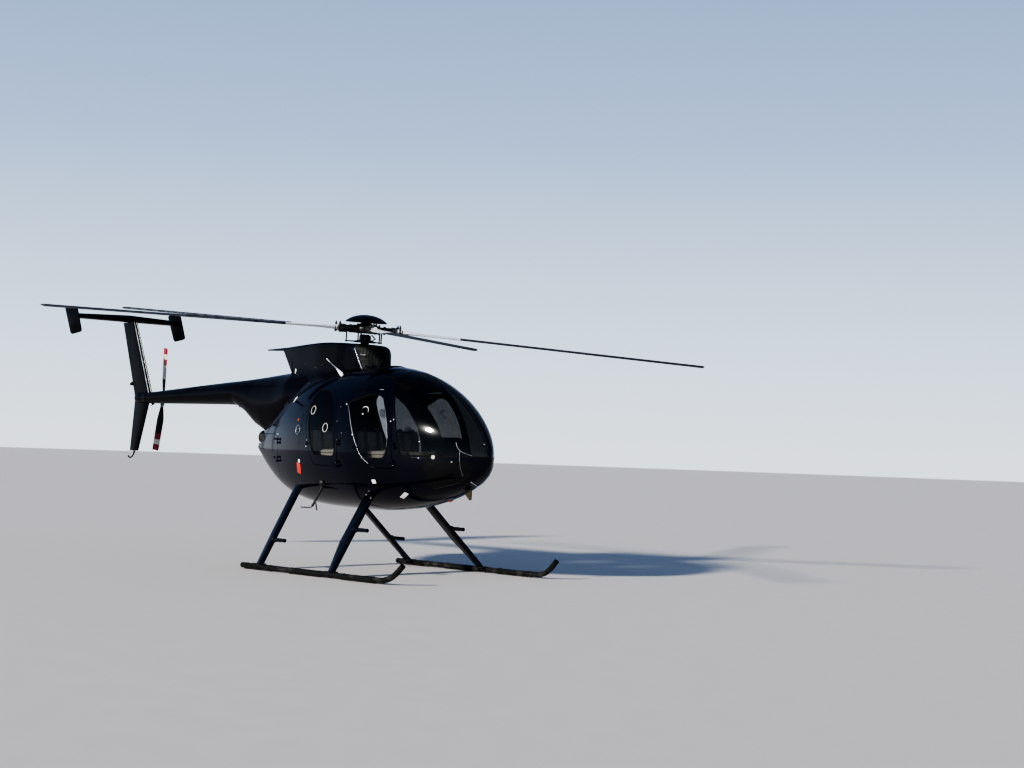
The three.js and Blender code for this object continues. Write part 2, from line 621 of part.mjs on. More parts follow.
const skidPort = () => {
  const tube = tubeAlong(
    [
      [SKID.rear, SKID.y, skidCentre],
      [600, SKID.y, skidCentre],
      [SKID.bend - 120, SKID.y, skidCentre],
      [SKID.bend + 60, SKID.y - 3, skidCentre + 12],
      [SKID.bend + 180, SKID.y - 12, skidCentre + 65],
      [SKID_TIP.x, SKID_TIP.y, SKID_TIP.z],
    ],
    SKID.radius,
    18,
    10,
  );
  const shoe = (x0, x1) => block([x0, SKID.y - 20, 0], [x1, SKID.y + 20, SKID.shoe + 6]);
  const saddle = ({ foot }) =>
    join(
      block([foot[0] - 75, SKID.y - 30, skidCentre], [foot[0] + 75, SKID.y + 30, foot[2] - GAP]),
      block([foot[0] - 70, foot[1] - 36, foot[2] - 22], [foot[0] + 70, SKID.y, foot[2] - GAP]),
    );
  return join(tube, shoe(-560, -60), shoe(250, 800), shoe(1150, 1700), ...Object.values(LEGS).map(saddle));
};
const skidSolid = skidPort();
bothSides((side, sign) => {
  for (const [place, leg] of legPorts) {
    add(`leg_${place}_${side}`, largest(flip(leg, sign).subtract(podCovered)), "black");
  }
  add(`skid_${side}`, flip(skidSolid, sign), "black");
});

// Rotor group: its own frame stands at the hub's centre with Z along the mast
const mastFrame = new THREE.Group();
mastFrame.position.set(0, 0, HUB_Z);
mastFrame.rotation.y = MAST_TILT;
helicopter.add(mastFrame);

const turnAbout = (solid, degrees) =>
  solidOf(geometryOf(solid).rotateZ(THREE.MathUtils.degToRad(degrees)));
const ringOfFive = (solid) =>
  join(...Array.from({ length: BLADES }, (_, i) => turnAbout(solid, BLADE_PHASE + (360 / BLADES) * i)));

const MAST = { radius: 50, bottom: -450, top: -62 };
helicopter.updateMatrixWorld(true);
const roofInMastFrame = solidOf(geometryOf(podCovered).applyMatrix4(mastFrame.matrixWorld.clone().invert()));
const mastTube = rod([0, 0, MAST.bottom], [0, 0, MAST.top], MAST.radius, MAST.radius, 20);
add("mast", mastTube.subtract(roofInMastFrame), "metal", mastFrame);
const LINK = { x: 194, y: -107, bottom: -150, top: -35 }; // a pitch link, seen along the blade that it turns
const link = join(
  rod([LINK.x, LINK.y, LINK.bottom], [LINK.x, LINK.y, LINK.top], 8, 8, 6),
  rod([LINK.x * 0.45, LINK.y * 0.45, LINK.bottom], [LINK.x + 7, LINK.y - 4, LINK.bottom], 13, 11, 6),
);
// The rotating star: a flat plate with a tall sleeve round the mast.
const STAR = { inner: 60, sleeve: 70, outer: 128, low: -162, high: -138, top: -70 };
const starProfile = [
  [STAR.inner, STAR.low], [STAR.outer, STAR.low], [STAR.outer, STAR.high], [STAR.sleeve, STAR.high],
  [STAR.sleeve, STAR.top], [STAR.inner, STAR.top], [STAR.inner, STAR.low],
];
const star = turned(starProfile, 0, 0, 18);
add("swashplate", join(star, ringOfFive(link)), "metal", mastFrame);

const arm = join(
  block([60, -50, -42], [330, 50, 34]),
  rod([300, 0, -3], [BLADE.root - 3, 0, -1], 48, 38, 8),
  block([LINK.x - 24, LINK.y - 16, LINK.top + GAP], [LINK.x + 24, -30, -14]),
  rod([300, 60, 8], [BLADE.root - 6, 58, 8], 20, 20, 6),
);
const hubCore = turned([[0, -52], [128, -52], [140, 0], [120, 44], [70, 60], [30, 74], [0, 74]], 0, 0, 20);
add("rotor_head", join(hubCore, ringOfFive(arm)), "black", mastFrame);
const DOME = [
  [0, 74 + GAP], [60, 74 + GAP], [60, 84], [238, 74], [248, 80], [225, 104], [165, 138], [85, 162], [0, 170],
];
add("rotor_dome", turned(DOME, 0, 0, 30), "black", mastFrame);

const bladeRing = (r, chord, thick, twist) =>
  foil(chord * 0.28, -chord * 0.72, thick, (along, up) => {
    const angle = THREE.MathUtils.degToRad(twist);
    const y = along * Math.cos(angle) - up * Math.sin(angle);
    return [r, y, along * Math.sin(angle) + up * Math.cos(angle)];
  });
const bladeSolid = loftFlat([
  bladeRing(BLADE.root, 90, 44, 4),
  bladeRing(BLADE.root + 130, 110, 34, 4),
  bladeRing(BLADE.root + 260, BLADE.chord, BLADE.thick, 4),
  bladeRing(2300, BLADE.chord, BLADE.thick, 1),
  bladeRing(BLADE.tip, BLADE.chord, BLADE.thick, -3),
]);
for (let i = 0; i < BLADES; i++) {
  const heading = THREE.MathUtils.degToRad(BLADE_PHASE + (360 / BLADES) * i);
  const flap = THREE.MathUtils.degToRad(BLADE.droop + DISC_LEAN * Math.cos(heading));
  const blade = geometryOf(bladeSolid).translate(-BLADE.flapAt, 0, 0).rotateY(flap);
  blade.translate(BLADE.flapAt, 0, 0).rotateZ(heading);
  add(`main_blade_${i + 1}`, solidOf(blade), "blade", mastFrame);
}

// Tail rotor: two blades on a hub that turns about Y
const tailFrame = new THREE.Group();
tailFrame.position.set(TAIL_HUB.x, TAIL_HUB.y, TAIL_HUB.z);
tailFrame.rotation.y = THREE.MathUtils.degToRad(TAIL_BLADE.lean);
helicopter.add(tailFrame);
const tailBladeRing = (z, chord, thick, twist) =>
  foil(chord * 0.4, -chord * 0.6, thick, (along, up) => {
    const angle = THREE.MathUtils.degToRad(twist);
    const x = along * Math.cos(angle) - up * Math.sin(angle);
    return [x, along * Math.sin(angle) + up * Math.cos(angle), z];
  });
const flatTailBlade = loftFlat([
  tailBladeRing(95, 50, 32, TAIL_BLADE.twist),
  tailBladeRing(170, 80, 22, TAIL_BLADE.twist),
  tailBladeRing(280, TAIL_BLADE.chord, TAIL_BLADE.thick, TAIL_BLADE.twist),
  tailBladeRing(TAIL_BLADE.radius, TAIL_BLADE.chord, TAIL_BLADE.thick, TAIL_BLADE.twist + 2),
]);
const cone = THREE.MathUtils.degToRad(TAIL_BLADE.cone);
const coned = geometryOf(flatTailBlade).translate(0, 0, -60).rotateX(cone).translate(0, 0, 60);
const tailBlade = solidOf(coned);
add("tail_blade_1", tailBlade, "blade", tailFrame);
add("tail_blade_2", solidOf(geometryOf(tailBlade).rotateY(Math.PI)), "blade", tailFrame);
const tailHub = join(
  rod([0, -40, 0], [0, 45, 0], 40, 34, 16),
  rod([0, 0, -91], [0, 0, 91], 26, 26, 12),
);
add("tail_rotor_hub", tailHub, "metal", tailFrame);

// Aerials and a lamp
const padCovered = podSolid(-PAD.thick - GAP);
const WHIP = {
  foot: [-12, -299, 2250],
  collar: [-165, -302, 2363],
  neck: [-158, -302, 2358],
  tip: [-330, -305, 2464],
};
const whip = join(rod(WHIP.foot, WHIP.collar, 38, 11, 10), rod(WHIP.neck, WHIP.tip, 9, 4, 8));
add("whip_aerial", largest(whip.subtract(padCovered)), "white");
const BELLY_AERIAL = {
  mast: [[-20, -505, 1040], [-196, -548, 735]],
  bend: [[-180, -547, 762], [-205, -548, 727], [-240, -548, 716], [-410, -548, 712]],
  prong: [[-150, -547, 812], [-112, -547, 690]],
};
const bent = join(
  rod(...BELLY_AERIAL.mast, 20, 13, 8),
  tubeAlong(BELLY_AERIAL.bend, 7, 8, 6),
  rod(...BELLY_AERIAL.prong, 9, 9, 6),
);
add("belly_aerial", largest(bent.subtract(podCovered)), "black");
const NOSE_AERIAL = [[1790, 960], [1885, 1060], [1885, 905], [1862, 892]];
add("nose_aerial", largest(sidePrism(NOSE_AERIAL, -8, 8, 8, 3).subtract(podCovered)), "black");
const LAMP = { x: 1546, z: 862, radius: 36 };
const LAMP_PROFILE = [[0, 0], [LAMP.radius * 0.7, 5], [LAMP.radius, 20], [LAMP.radius, 60], [0, 60]];
const lamp = turned(LAMP_PROFILE.map(([r, z]) => [r, LAMP.z + z]), LAMP.x, 0, 16);
add("belly_lamp", lamp.subtract(podCovered), "lamp");

helicopter.position.set(ORIGIN.x, ORIGIN.y, 0);

export default helicopter;
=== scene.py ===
import json
from math import atan2, ceil, copysign, cos, exp, pi, radians, sin

import bmesh
import bpy
from mathutils import Matrix, Vector
from mathutils.bvhtree import BVHTree

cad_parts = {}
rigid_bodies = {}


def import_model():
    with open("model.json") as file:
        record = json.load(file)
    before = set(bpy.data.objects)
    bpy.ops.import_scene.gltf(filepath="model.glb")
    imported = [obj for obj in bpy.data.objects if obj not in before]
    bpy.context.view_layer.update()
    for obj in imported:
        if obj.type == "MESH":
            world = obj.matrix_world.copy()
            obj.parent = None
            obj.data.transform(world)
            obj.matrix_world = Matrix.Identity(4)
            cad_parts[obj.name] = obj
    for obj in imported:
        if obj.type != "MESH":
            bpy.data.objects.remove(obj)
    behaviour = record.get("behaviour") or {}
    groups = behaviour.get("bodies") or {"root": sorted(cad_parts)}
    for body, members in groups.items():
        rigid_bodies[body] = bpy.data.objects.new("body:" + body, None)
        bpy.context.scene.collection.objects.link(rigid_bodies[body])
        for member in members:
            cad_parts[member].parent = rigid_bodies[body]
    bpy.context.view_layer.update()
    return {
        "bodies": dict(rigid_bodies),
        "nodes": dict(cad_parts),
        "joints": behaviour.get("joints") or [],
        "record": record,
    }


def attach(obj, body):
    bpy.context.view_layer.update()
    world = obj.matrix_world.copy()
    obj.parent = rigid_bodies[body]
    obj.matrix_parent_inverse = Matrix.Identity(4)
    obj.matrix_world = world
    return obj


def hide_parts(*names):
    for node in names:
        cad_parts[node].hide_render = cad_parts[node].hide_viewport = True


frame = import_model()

# Places are given from the foot of the rotor mast on the ground, in metres, with X forward and Y to port.
MAST_FOOT = Vector((0.8, 0.2, 0))
SIDES = {"left": 1, "right": -1}
TAU = 2 * pi
shift = Matrix.Translation


def spin(angle, axis="Z"):
    return Matrix.Rotation(angle, 4, axis)


def metres(points):
    """Rows of millimetres, or of thousandths of a degree, as rows of metres or degrees."""
    return [tuple(value / 1000 for value in point) for point in points]


# The pod's shape
WIDE, NOSE, TAIL, MID = 0.531, 2.172, -1.982, 1.381
REACH = {"up": 0.999, "down": 0.659, "half": 0.696}
NOSE_CURVE = {"up": (1.87, 0.636), "down": (1.67, 0.505), "half": (1.5, 0.634)}
TAIL_CURVE = {"up": (3.06, 0.82), "down": (4.23, 1.165), "half": (1.74, 1.05)}
SECTION_POWER = 2.167
SKIN = 0.024  # thickness of the cabin's wall and doors
GLASS = 0.006
DOOR_GAP = 0.006
FIREWALL_X = -0.48
NOSE_SEAM = (1.4, 1.35)

# The rotors
HUB = Vector((0, 0, 2.826))
MAST_TILT = radians(3.3)
BLADES = 5
BLADE_PHASE = radians(46.7)
BLADE_ROOT, BLADE_CHORD, BLADE_AHEAD = 0.43, 0.171, 0.28
BLADE_DROOP, DISC_LEAN, FLAP_AT = 0.8, 2.0, 0.15
TAIL_HUB = Vector((-4.66, 0.4, 1.98))
TAIL_LEAN = radians(7.3)
TAIL_CONE = radians(3.5)

MAST_FRAME = shift(HUB) @ spin(MAST_TILT, "Y")
TAIL_FRAME = shift(TAIL_HUB) @ spin(TAIL_LEAN, "Y")


def add_object(name, data):
    made = bpy.data.objects.new(name, data)
    bpy.context.collection.objects.link(made)
    return made


def add_mesh(bm, name):
    mesh = bpy.data.meshes.new(name)
    bm.to_mesh(mesh)
    return add_object(name, mesh)


def with_modifiers(item):
    """A new mesh of the object with its modifiers applied."""
    return bpy.data.meshes.new_from_object(item.evaluated_get(bpy.context.evaluated_depsgraph_get()))


# Camera and light, fitted to the photograph
CAMERA_PLACE, CAMERA_ANGLES = (16.588, -14.255, 1.539), (134.75, 1.84, 1.96)
FOCAL_PIXELS, PICTURE_WIDE, SENSOR_WIDE = 1851.9, 1024, 36
SUN = {"towards": (0.0, -0.94, 0.40), "strength": 4.2, "degrees": 4.0, "colour": (1.0, 0.95, 0.87)}
SKY = [
    # height of the direction (0 level, 1 straight up) and colour
    (0.0, (0.80, 0.86, 0.92)), (0.05, (0.66, 0.78, 0.92)), (0.16, (0.37, 0.50, 0.71)),
    (0.4, (0.155, 0.23, 0.40)), (1.0, (0.075, 0.11, 0.22)),
]


def make_camera():
    place = Vector(CAMERA_PLACE) + MAST_FOOT
    yaw, pitch, roll = (radians(angle) for angle in CAMERA_ANGLES)
    look = Vector((cos(yaw) * cos(pitch), sin(yaw) * cos(pitch), sin(pitch)))
    level = Vector((sin(yaw), -cos(yaw), 0))
    upright = level.cross(look)
    right = cos(roll) * level + sin(roll) * upright
    up = -sin(roll) * level + cos(roll) * upright
    data = bpy.data.cameras.new("camera")
    data.sensor_width = SENSOR_WIDE
    data.lens = FOCAL_PIXELS * SENSOR_WIDE / PICTURE_WIDE
    data.clip_end = 400
    camera = add_object("camera", data)
    turn = Matrix((right, up, -look)).transposed().to_4x4()
    camera.matrix_world = shift(place) @ turn
    bpy.context.scene.camera = camera


def make_sun():
    data = bpy.data.lights.new("key", "SUN")
    data.energy = SUN["strength"]
    data.angle = radians(SUN["degrees"])
    data.color = SUN["colour"]
    light = add_object("key", data)
    light.rotation_mode = "QUATERNION"
    light.rotation_quaternion = Vector(SUN["towards"]).to_track_quat("Z", "Y")


def make_world():
    world = bpy.data.worlds.new("studio")
    world.use_nodes = True
    bpy.context.scene.world = world
    nodes, links = world.node_tree.nodes, world.node_tree.links
    background = nodes["Background"]
    ramp = nodes.new("ShaderNodeValToRGB")
    split = nodes.new("ShaderNodeSeparateXYZ")
    place = nodes.new("ShaderNodeTexCoord")
    links.new(place.outputs["Generated"], split.inputs[0])
    links.new(split.outputs["Z"], ramp.inputs[0])
    links.new(ramp.outputs[0], background.inputs["Color"])
    elements = ramp.color_ramp.elements
    for position, _ in SKY[1:-1]:
        elements.new(position)
    for element, (position, colour) in zip(elements, SKY):
        element.position = position
        element.color = (*colour, 1)
    background.inputs["Strength"].default_value = 1.0


make_camera()
make_world()
make_sun()
bpy.context.scene.view_settings.look = "AgX - Very High Contrast"


# Materials
def new_material(name, colour, roughness=0.5, metallic=0.0, **sockets):
    material = bpy.data.materials.new(name)
    material.use_nodes = True
    tree = material.node_tree
    shader = tree.nodes["Principled BSDF"]
    shader.inputs["Base Color"].default_value = (*colour, 1)
    shader.inputs["Roughness"].default_value = roughness
    shader.inputs["Metallic"].default_value = metallic
    for socket, value in sockets.items():
        shader.inputs[socket.replace("_", " ")].default_value = value
    return material


def coordinates(tree, stretch=(1, 1, 1), turn=(0, 0, 0)):
    place = tree.nodes.new("ShaderNodeTexCoord")
    mapping = tree.nodes.new("ShaderNodeMapping")
    mapping.inputs["Scale"].default_value = stretch
    mapping.inputs["Rotation"].default_value = turn
    tree.links.new(place.outputs["Object"], mapping.inputs[0])
    return mapping.outputs[0]


def noise(tree, scale, detail=4.0, stretch=(1, 1, 1)):
    node = tree.nodes.new("ShaderNodeTexNoise")
    node.inputs["Scale"].default_value = scale
    node.inputs["Detail"].default_value = detail
    tree.links.new(coordinates(tree, stretch), node.inputs["Vector"])
    return node.outputs["Fac"]


def spread(tree, value, low, high, start=0.3, end=0.7):
    node = tree.nodes.new("ShaderNodeMapRange")
    for name, number in (("From Min", start), ("From Max", end), ("To Min", low), ("To Max", high)):
        node.inputs[name].default_value = number
    tree.links.new(value, node.inputs["Value"])
    return node.outputs[0]


def blend(tree, value, first, second):
    node = tree.nodes.new("ShaderNodeMix")
    node.data_type = "RGBA"
    node.inputs[6].default_value = (*first, 1)
    node.inputs[7].default_value = (*second, 1)
    tree.links.new(value, node.inputs[0])
    return node.outputs[2]


def combine(tree, kind, first, second):
    node = tree.nodes.new("ShaderNodeMath")
    node.operation = kind
    for socket, value in zip(node.inputs, (first, second)):
        if isinstance(value, (int, float)):
            socket.default_value = value
        else:
            tree.links.new(value, socket)
    return node.outputs[0]


def dress(material, roughness=None, colour=None, height=None, strength=0.1, distance=0.001):
    tree = material.node_tree
    shader = tree.nodes["Principled BSDF"]
    if roughness is not None:
        tree.links.new(roughness, shader.inputs["Roughness"])
    if colour is not None:
        tree.links.new(colour, shader.inputs["Base Color"])
    if height is not None:
        bump = tree.nodes.new("ShaderNodeBump")
        bump.inputs["Strength"].default_value = strength
        bump.inputs["Distance"].default_value = distance
        tree.links.new(height, bump.inputs["Height"])
        tree.links.new(bump.outputs[0], shader.inputs["Normal"])
    return material


def gloss_paint(name, deep, bright, roughness, shine=0.35):
    """Polished paint: a slow drift of colour, fine dust in the roughness and a little orange peel."""
    made = new_material(name, deep, roughness, Specular_IOR_Level=shine, Coat_Weight=0.12,
                        Coat_Roughness=0.25)
    tree = made.node_tree
    drift = spread(tree, noise(tree, 1.6, 3), 0, 1)
    dust = spread(tree, noise(tree, 38, 6), roughness * 0.8, roughness * 1.5)
    return dress(made, dust, blend(tree, drift, deep, bright), noise(tree, 420, 2), 0.05, 0.0004)


def worn_paint(name, colour, worn, roughness, wear=0.6, shine=0.5):
    """Satin paint, rubbed lighter in patches."""
    made = new_material(name, colour, roughness, Specular_IOR_Level=shine)
    tree = made.node_tree
    rub = combine(tree, "MULTIPLY", spread(tree, noise(tree, 9, 8), 0, 1, 0.5, 0.72), noise(tree, 85, 5))
    rough = spread(tree, noise(tree, 55, 5), roughness * 0.8, roughness * 1.3)
    shade = blend(tree, combine(tree, "MULTIPLY", rub, wear), colour, worn)
    return dress(made, rough, shade, noise(tree, 300, 3), 0.12, 0.0006)


def worked_metal(name, colour, dark, roughness, stretch=(1, 1, 1), scale=60):
    made = new_material(name, colour, roughness, 1.0)
    tree = made.node_tree
    grain = noise(tree, scale, 8, stretch)
    shade = blend(tree, spread(tree, noise(tree, 12, 5), 0, 1), colour, dark)
    return dress(made, spread(tree, grain, roughness * 0.7, roughness * 1.5), shade, grain, 0.15, 0.0004)


def waves(tree, scale, turn=(0, 0, 0), distortion=0.0, profile="SIN"):
    node = tree.nodes.new("ShaderNodeTexWave")
    node.wave_profile = profile
    node.inputs["Scale"].default_value = scale
    node.inputs["Distortion"].default_value = distortion
    tree.links.new(coordinates(tree, (1, 1, 1), turn), node.inputs["Vector"])
    return node.outputs["Fac"]


def make_cloth(name, colour, darker, size=0.004):
    """A plain weave: two sets of fine waves cross, with soft creases and faded patches."""
    made = new_material(name, colour, 0.85, Sheen_Weight=0.3)
    tree = made.node_tree
    weave = combine(tree, "MAXIMUM", *(waves(tree, 1 / size / 3, (0, 0, turn), 0.4) for turn in (0, pi / 2)))
    height = combine(tree, "ADD", combine(tree, "MULTIPLY", weave, 0.35), noise(tree, 14, 5))
    faded = spread(tree, combine(tree, "MULTIPLY", weave, noise(tree, 6, 4)), 0, 1, 0.1, 0.6)
    rough = spread(tree, noise(tree, 40, 3), 0.75, 0.95)
    return dress(made, rough, blend(tree, faded, darker, colour), height, 0.5, 0.002)


def make_mesh_screen(name, colour, holes, pitch):
    """Woven wire over openings painted near black, as painted shade of the space behind the wire: a fine
    chequer of bars in two directions.
    """
    made = new_material(name, colour, 0.5, 0.4)
    tree = made.node_tree
    bars = (waves(tree, 1 / pitch / 6.3, (0, turn, 0), profile="TRI") for turn in (0, pi / 2))
    wires = combine(tree, "MAXIMUM", *bars)
    dirt = spread(tree, noise(tree, 11, 5), 0.5, 1)
    shown = combine(tree, "MULTIPLY", spread(tree, wires, 0, 1, 0.45, 0.65), dirt)
    rough = spread(tree, noise(tree, 50, 4), 0.45, 0.7)
    # Between the wires the colour is the holes' near black: painted shade of the space behind the screen.
    return dress(made, rough, blend(tree, shown, holes, colour), wires, 0.7, 0.003)


NAVY = gloss_paint("navy_paint", (0.002, 0.0027, 0.008), (0.0035, 0.0048, 0.013), 0.06, 0.22)
NAVY_TAIL = gloss_paint("navy_tail_paint", (0.0042, 0.0036, 0.0056), (0.0062, 0.0055, 0.0085), 0.15, 0.1)
BLACK = worn_paint("satin_black", (0.004, 0.0042, 0.005), (0.02, 0.02, 0.022), 0.28, 0.6, 0.13)
RUBBER = worn_paint("black_rubber", (0.006, 0.006, 0.007), (0.015, 0.015, 0.015), 0.55, 0.6, 0.3)
BLADE_GREY = worn_paint("blade_grey", (0.047, 0.046, 0.043), (0.085, 0.083, 0.08), 0.5, 0.6, 0.1)
BLADE_WHITE = worn_paint("blade_white", (0.80, 0.80, 0.78), (0.55, 0.55, 0.53), 0.36)
BAND_RED = worn_paint("band_red", (0.26, 0.012, 0.02), (0.14, 0.015, 0.02), 0.4)
BAND_CREAM = worn_paint("band_cream", (0.62, 0.58, 0.50), (0.45, 0.42, 0.36), 0.42)
STEEL = worked_metal("worn_steel", (0.26, 0.27, 0.29), (0.10, 0.10, 0.11), 0.36)
DARK_STEEL = worked_metal("dark_hub_metal", (0.045, 0.047, 0.052), (0.015, 0.015, 0.017), 0.42)
HUB_PAINT = worn_paint("hub_grey", (0.028, 0.029, 0.031), (0.10, 0.10, 0.105), 0.5, 0.8, 0.3)
BRIGHT = worked_metal("bright_metal", (0.72, 0.73, 0.75), (0.45, 0.46, 0.48), 0.24)
ALUMINIUM = worked_metal("cast_aluminium", (0.42, 0.43, 0.44), (0.24, 0.24, 0.25), 0.45)
# Bright metal for trim, also used for painted highlights along the upper fin's leading edge and the front
# window's front edge
BRIGHT_TRIM_AND_HIGHLIGHT = worked_metal("bright_trim_and_painted_highlight", (0.60, 0.61, 0.63), (0.42, 0.43, 0.45), 0.42, (1, 1, 1), 14)
LEG_PAINT = worn_paint("leg_paint", (0.005, 0.006, 0.012), (0.03, 0.03, 0.035), 0.2, 0.5, 0.34)
SKID_PAINT = worn_paint("skid_paint", (0.012, 0.012, 0.012), (0.10, 0.095, 0.085), 0.5, 0.9, 0.25)
TRIM = worn_paint("cabin_trim", (0.014, 0.014, 0.016), (0.03, 0.03, 0.032), 0.75)
CARPET = make_cloth("cabin_carpet", (0.013, 0.0135, 0.015), (0.010, 0.0105, 0.012), 0.008)
CLOTH = make_cloth("seat_cloth", (0.66, 0.63, 0.55), (0.46, 0.43, 0.37))
PIPING = make_cloth("seat_piping", (0.12, 0.12, 0.12), (0.05, 0.05, 0.05))
OLIVE = worn_paint("olive_aerial", (0.045, 0.036, 0.018), (0.09, 0.08, 0.05), 0.45)
WEBBING = make_cloth("belt_webbing", (0.26, 0.25, 0.22), (0.16, 0.15, 0.13), 0.003)
STEEL_PAINT = worn_paint("grey_rod", (0.022, 0.022, 0.023), (0.07, 0.07, 0.07), 0.5)
WHITE = worn_paint("gloss_white", (0.80, 0.80, 0.78), (0.6, 0.6, 0.58), 0.25)
# The screen's holes are painted near black as painted shade; the intake behind them is solid.
SCREEN = make_mesh_screen("intake_mesh", (0.0095, 0.0115, 0.0105), (0.001, 0.0012, 0.0014), 0.014)
SIGNAL_RED = worn_paint("signal_red", (0.55, 0.05, 0.03), (0.3, 0.04, 0.03), 0.35)


def make_glass(name, alpha):
    made = new_material(name, (0.003, 0.004, 0.005), 0.03, IOR=1.45, Alpha=alpha, Coat_Weight=0.08,
                        Coat_Roughness=0.16)
    tree = made.node_tree
    smear = spread(tree, noise(tree, 6, 6), 0.015, 0.06)
    return dress(made, smear, None, noise(tree, 5.0, 2), 0.06, 0.006)


def make_exhaust_metal():
    """Stainless steel browned by heat in patches."""
    made = new_material("exhaust_metal", (0.16, 0.15, 0.14), 0.38, 1.0)
    tree = made.node_tree
    grain = noise(tree, 26, 7)
    shade = blend(tree, spread(tree, grain, 0, 1), (0.17, 0.16, 0.155), (0.07, 0.055, 0.045))
    return dress(made, spread(tree, noise(tree, 60, 5), 0.28, 0.55), shade, noise(tree, 120, 4), 0.2, 0.0008)


def make_red_lens():
    made = new_material("red_lens", (0.42, 0.012, 0.010), 0.12, Coat_Weight=0.6)
    tree = made.node_tree
    ribs = waves(tree, 60, (0, pi / 2, 0))
    return dress(made, spread(tree, noise(tree, 30, 3), 0.08, 0.2), None, ribs, 0.4, 0.001)


TINTED = make_glass("tinted_glazing", 0.6)
DOOR_GLASS = make_glass("door_glazing", 0.3)
SMOKED = make_glass("smoked_glazing", 0.88)
EXHAUST_METAL = make_exhaust_metal()
RED_LENS = make_red_lens()


# Working in bmesh
WELD = 1e-5  # points closer than this become one


def face_outwards(bm):
    bmesh.ops.recalc_face_normals(bm, faces=bm.faces)
    return bm


def moved(bm, matrix):
    bmesh.ops.transform(bm, matrix=matrix, verts=bm.verts)
    return bm


def ring(bm, points):
    """A closed loop of edges through the points."""
    made = bmesh.ops.create_circle(bm, segments=len(points), radius=1)["verts"]
    for vertex, point in zip(made, points):
        vertex.co = point
    return list(dict.fromkeys(edge for vertex in made for edge in vertex.link_edges))


def loft(sections, closed=False):
    """A skin through sections of as many points each, capped at both ends unless it is closed."""
    bm = bmesh.new()
    loops = [ring(bm, section) for section in sections]
    for before, after in zip(loops, loops[1:]):
        bmesh.ops.bridge_loops(bm, edges=before + after)
    if closed:
        bmesh.ops.bridge_loops(bm, edges=loops[-1] + loops[0])
    else:
        for loop in (loops[0], loops[-1]):
            bmesh.ops.edgeloop_fill(bm, edges=loop)
    return face_outwards(bm)


def sweep(points, radius, sides=12, closed=False, flat=1.0):
    """A round bar along a line; the radius may be a list with one number for each point."""
    points = [Vector(point) for point in points]
    radii = radius if isinstance(radius, (list, tuple)) else [radius] * len(points)
    count = len(points)
    sections, across = [], None
    for i, (point, size) in enumerate(zip(points, radii)):
        before = points[(i - 1) % count] if closed or i else point
        after = points[(i + 1) % count] if closed or i + 1 < count else point
        along = (after - before).normalized()
        if across is None:
            across = along.orthogonal().normalized()
        across = (across - along * across.dot(along)).normalized()
        other = along.cross(across)
        sections.append([
            point + size * (cos(TAU * j / sides) * across + sin(TAU * j / sides) * flat * other)
            for j in range(sides)
        ])
    return loft(sections, closed)


def smooth_line(points, steps):
    """Points along a smooth curve through the given ones, the same number between each pair."""
    points = [Vector(point) for point in points]
    line = []
    for i in range(len(points) - 1):
        p0, p1 = points[max(i - 1, 0)], points[i]
        p2, p3 = points[i + 1], points[min(i + 2, len(points) - 1)]
        for step in range(steps):
            t = step / steps
            line.append(
                0.5 * (2 * p1 + (p2 - p0) * t + (2 * p0 - 5 * p1 + 4 * p2 - p3) * t * t
                       + (3 * p1 - p0 - 3 * p2 + p3) * t * t * t)
            )
    return line + [points[-1]]


def side_curve(points, steps):
    """A smooth curve through (x, z) places, as such places."""
    return [(point.x, point.z) for point in smooth_line([(x, 0, z) for x, z in points], steps)]


def turned(profile, steps=40, centre=(0, 0, 0), axis=(0, 0, 1)):
    """A profile of (radius, height) spun once about an axis through the centre."""
    bm = bmesh.new()
    made = [bm.verts.new((radius, 0, height)) for radius, height in profile]
    edges = [bm.edges.new(pair) for pair in zip(made, made[1:])]
    bmesh.ops.spin(bm, geom=made + edges, cent=(0, 0, 0), axis=(0, 0, 1), angle=TAU, steps=steps,
                   use_merge=True)
    bmesh.ops.remove_doubles(bm, verts=bm.verts, dist=WELD)
    turn = Vector((0, 0, 1)).rotation_difference(Vector(axis)).to_matrix().to_4x4()
    return moved(face_outwards(bm), shift(centre) @ turn)


def rod(start, end, radius, end_radius=None, steps=20, edge=0.0):
    """A round bar between two points, with its rims broken by a small cone where an edge is given."""
    start, end = Vector(start), Vector(end)
    length = (end - start).length
    last = radius if end_radius is None else end_radius
    side = [(radius, edge), (last, length - edge)]
    if edge:
        side = [(radius - edge, 0), *side, (last - edge, length)]
    return turned([(0, 0), *side, (0, length)], steps, start, end - start)


def round_corners(bm, corners, offset, segments):
    bmesh.ops.bevel(bm, geom=corners, offset=offset, segments=segments, profile=0.5, affect="VERTICES",
                    material=-1)


def slab(outline, low, high, corner=0.0, segments=5, edge=0.0, plane="xz"):
    """An outline drawn from the side or from above, with its corners rounded, filled from low to high."""
    bm = bmesh.new()
    upright = plane == "xz"
    corners = [bm.verts.new((a, low, b) if upright else (a, b, low)) for a, b in outline]
    bm.faces.new(corners)
    if corner:
        round_corners(bm, corners, corner, segments)
    bmesh.ops.dissolve_degenerate(bm, dist=WELD, edges=bm.edges)
    made = bmesh.ops.extrude_face_region(bm, geom=bm.faces[:])["geom"]
    lift = (0, high - low, 0) if upright else (0, 0, high - low)
    bmesh.ops.translate(bm, vec=lift, verts=[item for item in made if isinstance(item, bmesh.types.BMVert)])
    face_outwards(bm)
    if edge:
        break_edges(bm, edge)
    return bm


def break_edges(bm, width, segments=2, limit=0.5):
    sharp = [e for e in bm.edges if len(e.link_faces) == 2 and e.calc_face_angle(0) > limit]
    bmesh.ops.bevel(bm, geom=sharp, offset=width, segments=segments, profile=0.5, affect="EDGES",
                    material=-1)


def box(low, high, edge=0.0):
    bm = bmesh.new()
    low, high = Vector(low), Vector(high)
    size = Matrix.Diagonal((*(high - low), 1))
    bmesh.ops.create_cube(bm, size=1, matrix=shift((low + high) / 2) @ size)
    if edge:
        break_edges(bm, edge)
    return bm


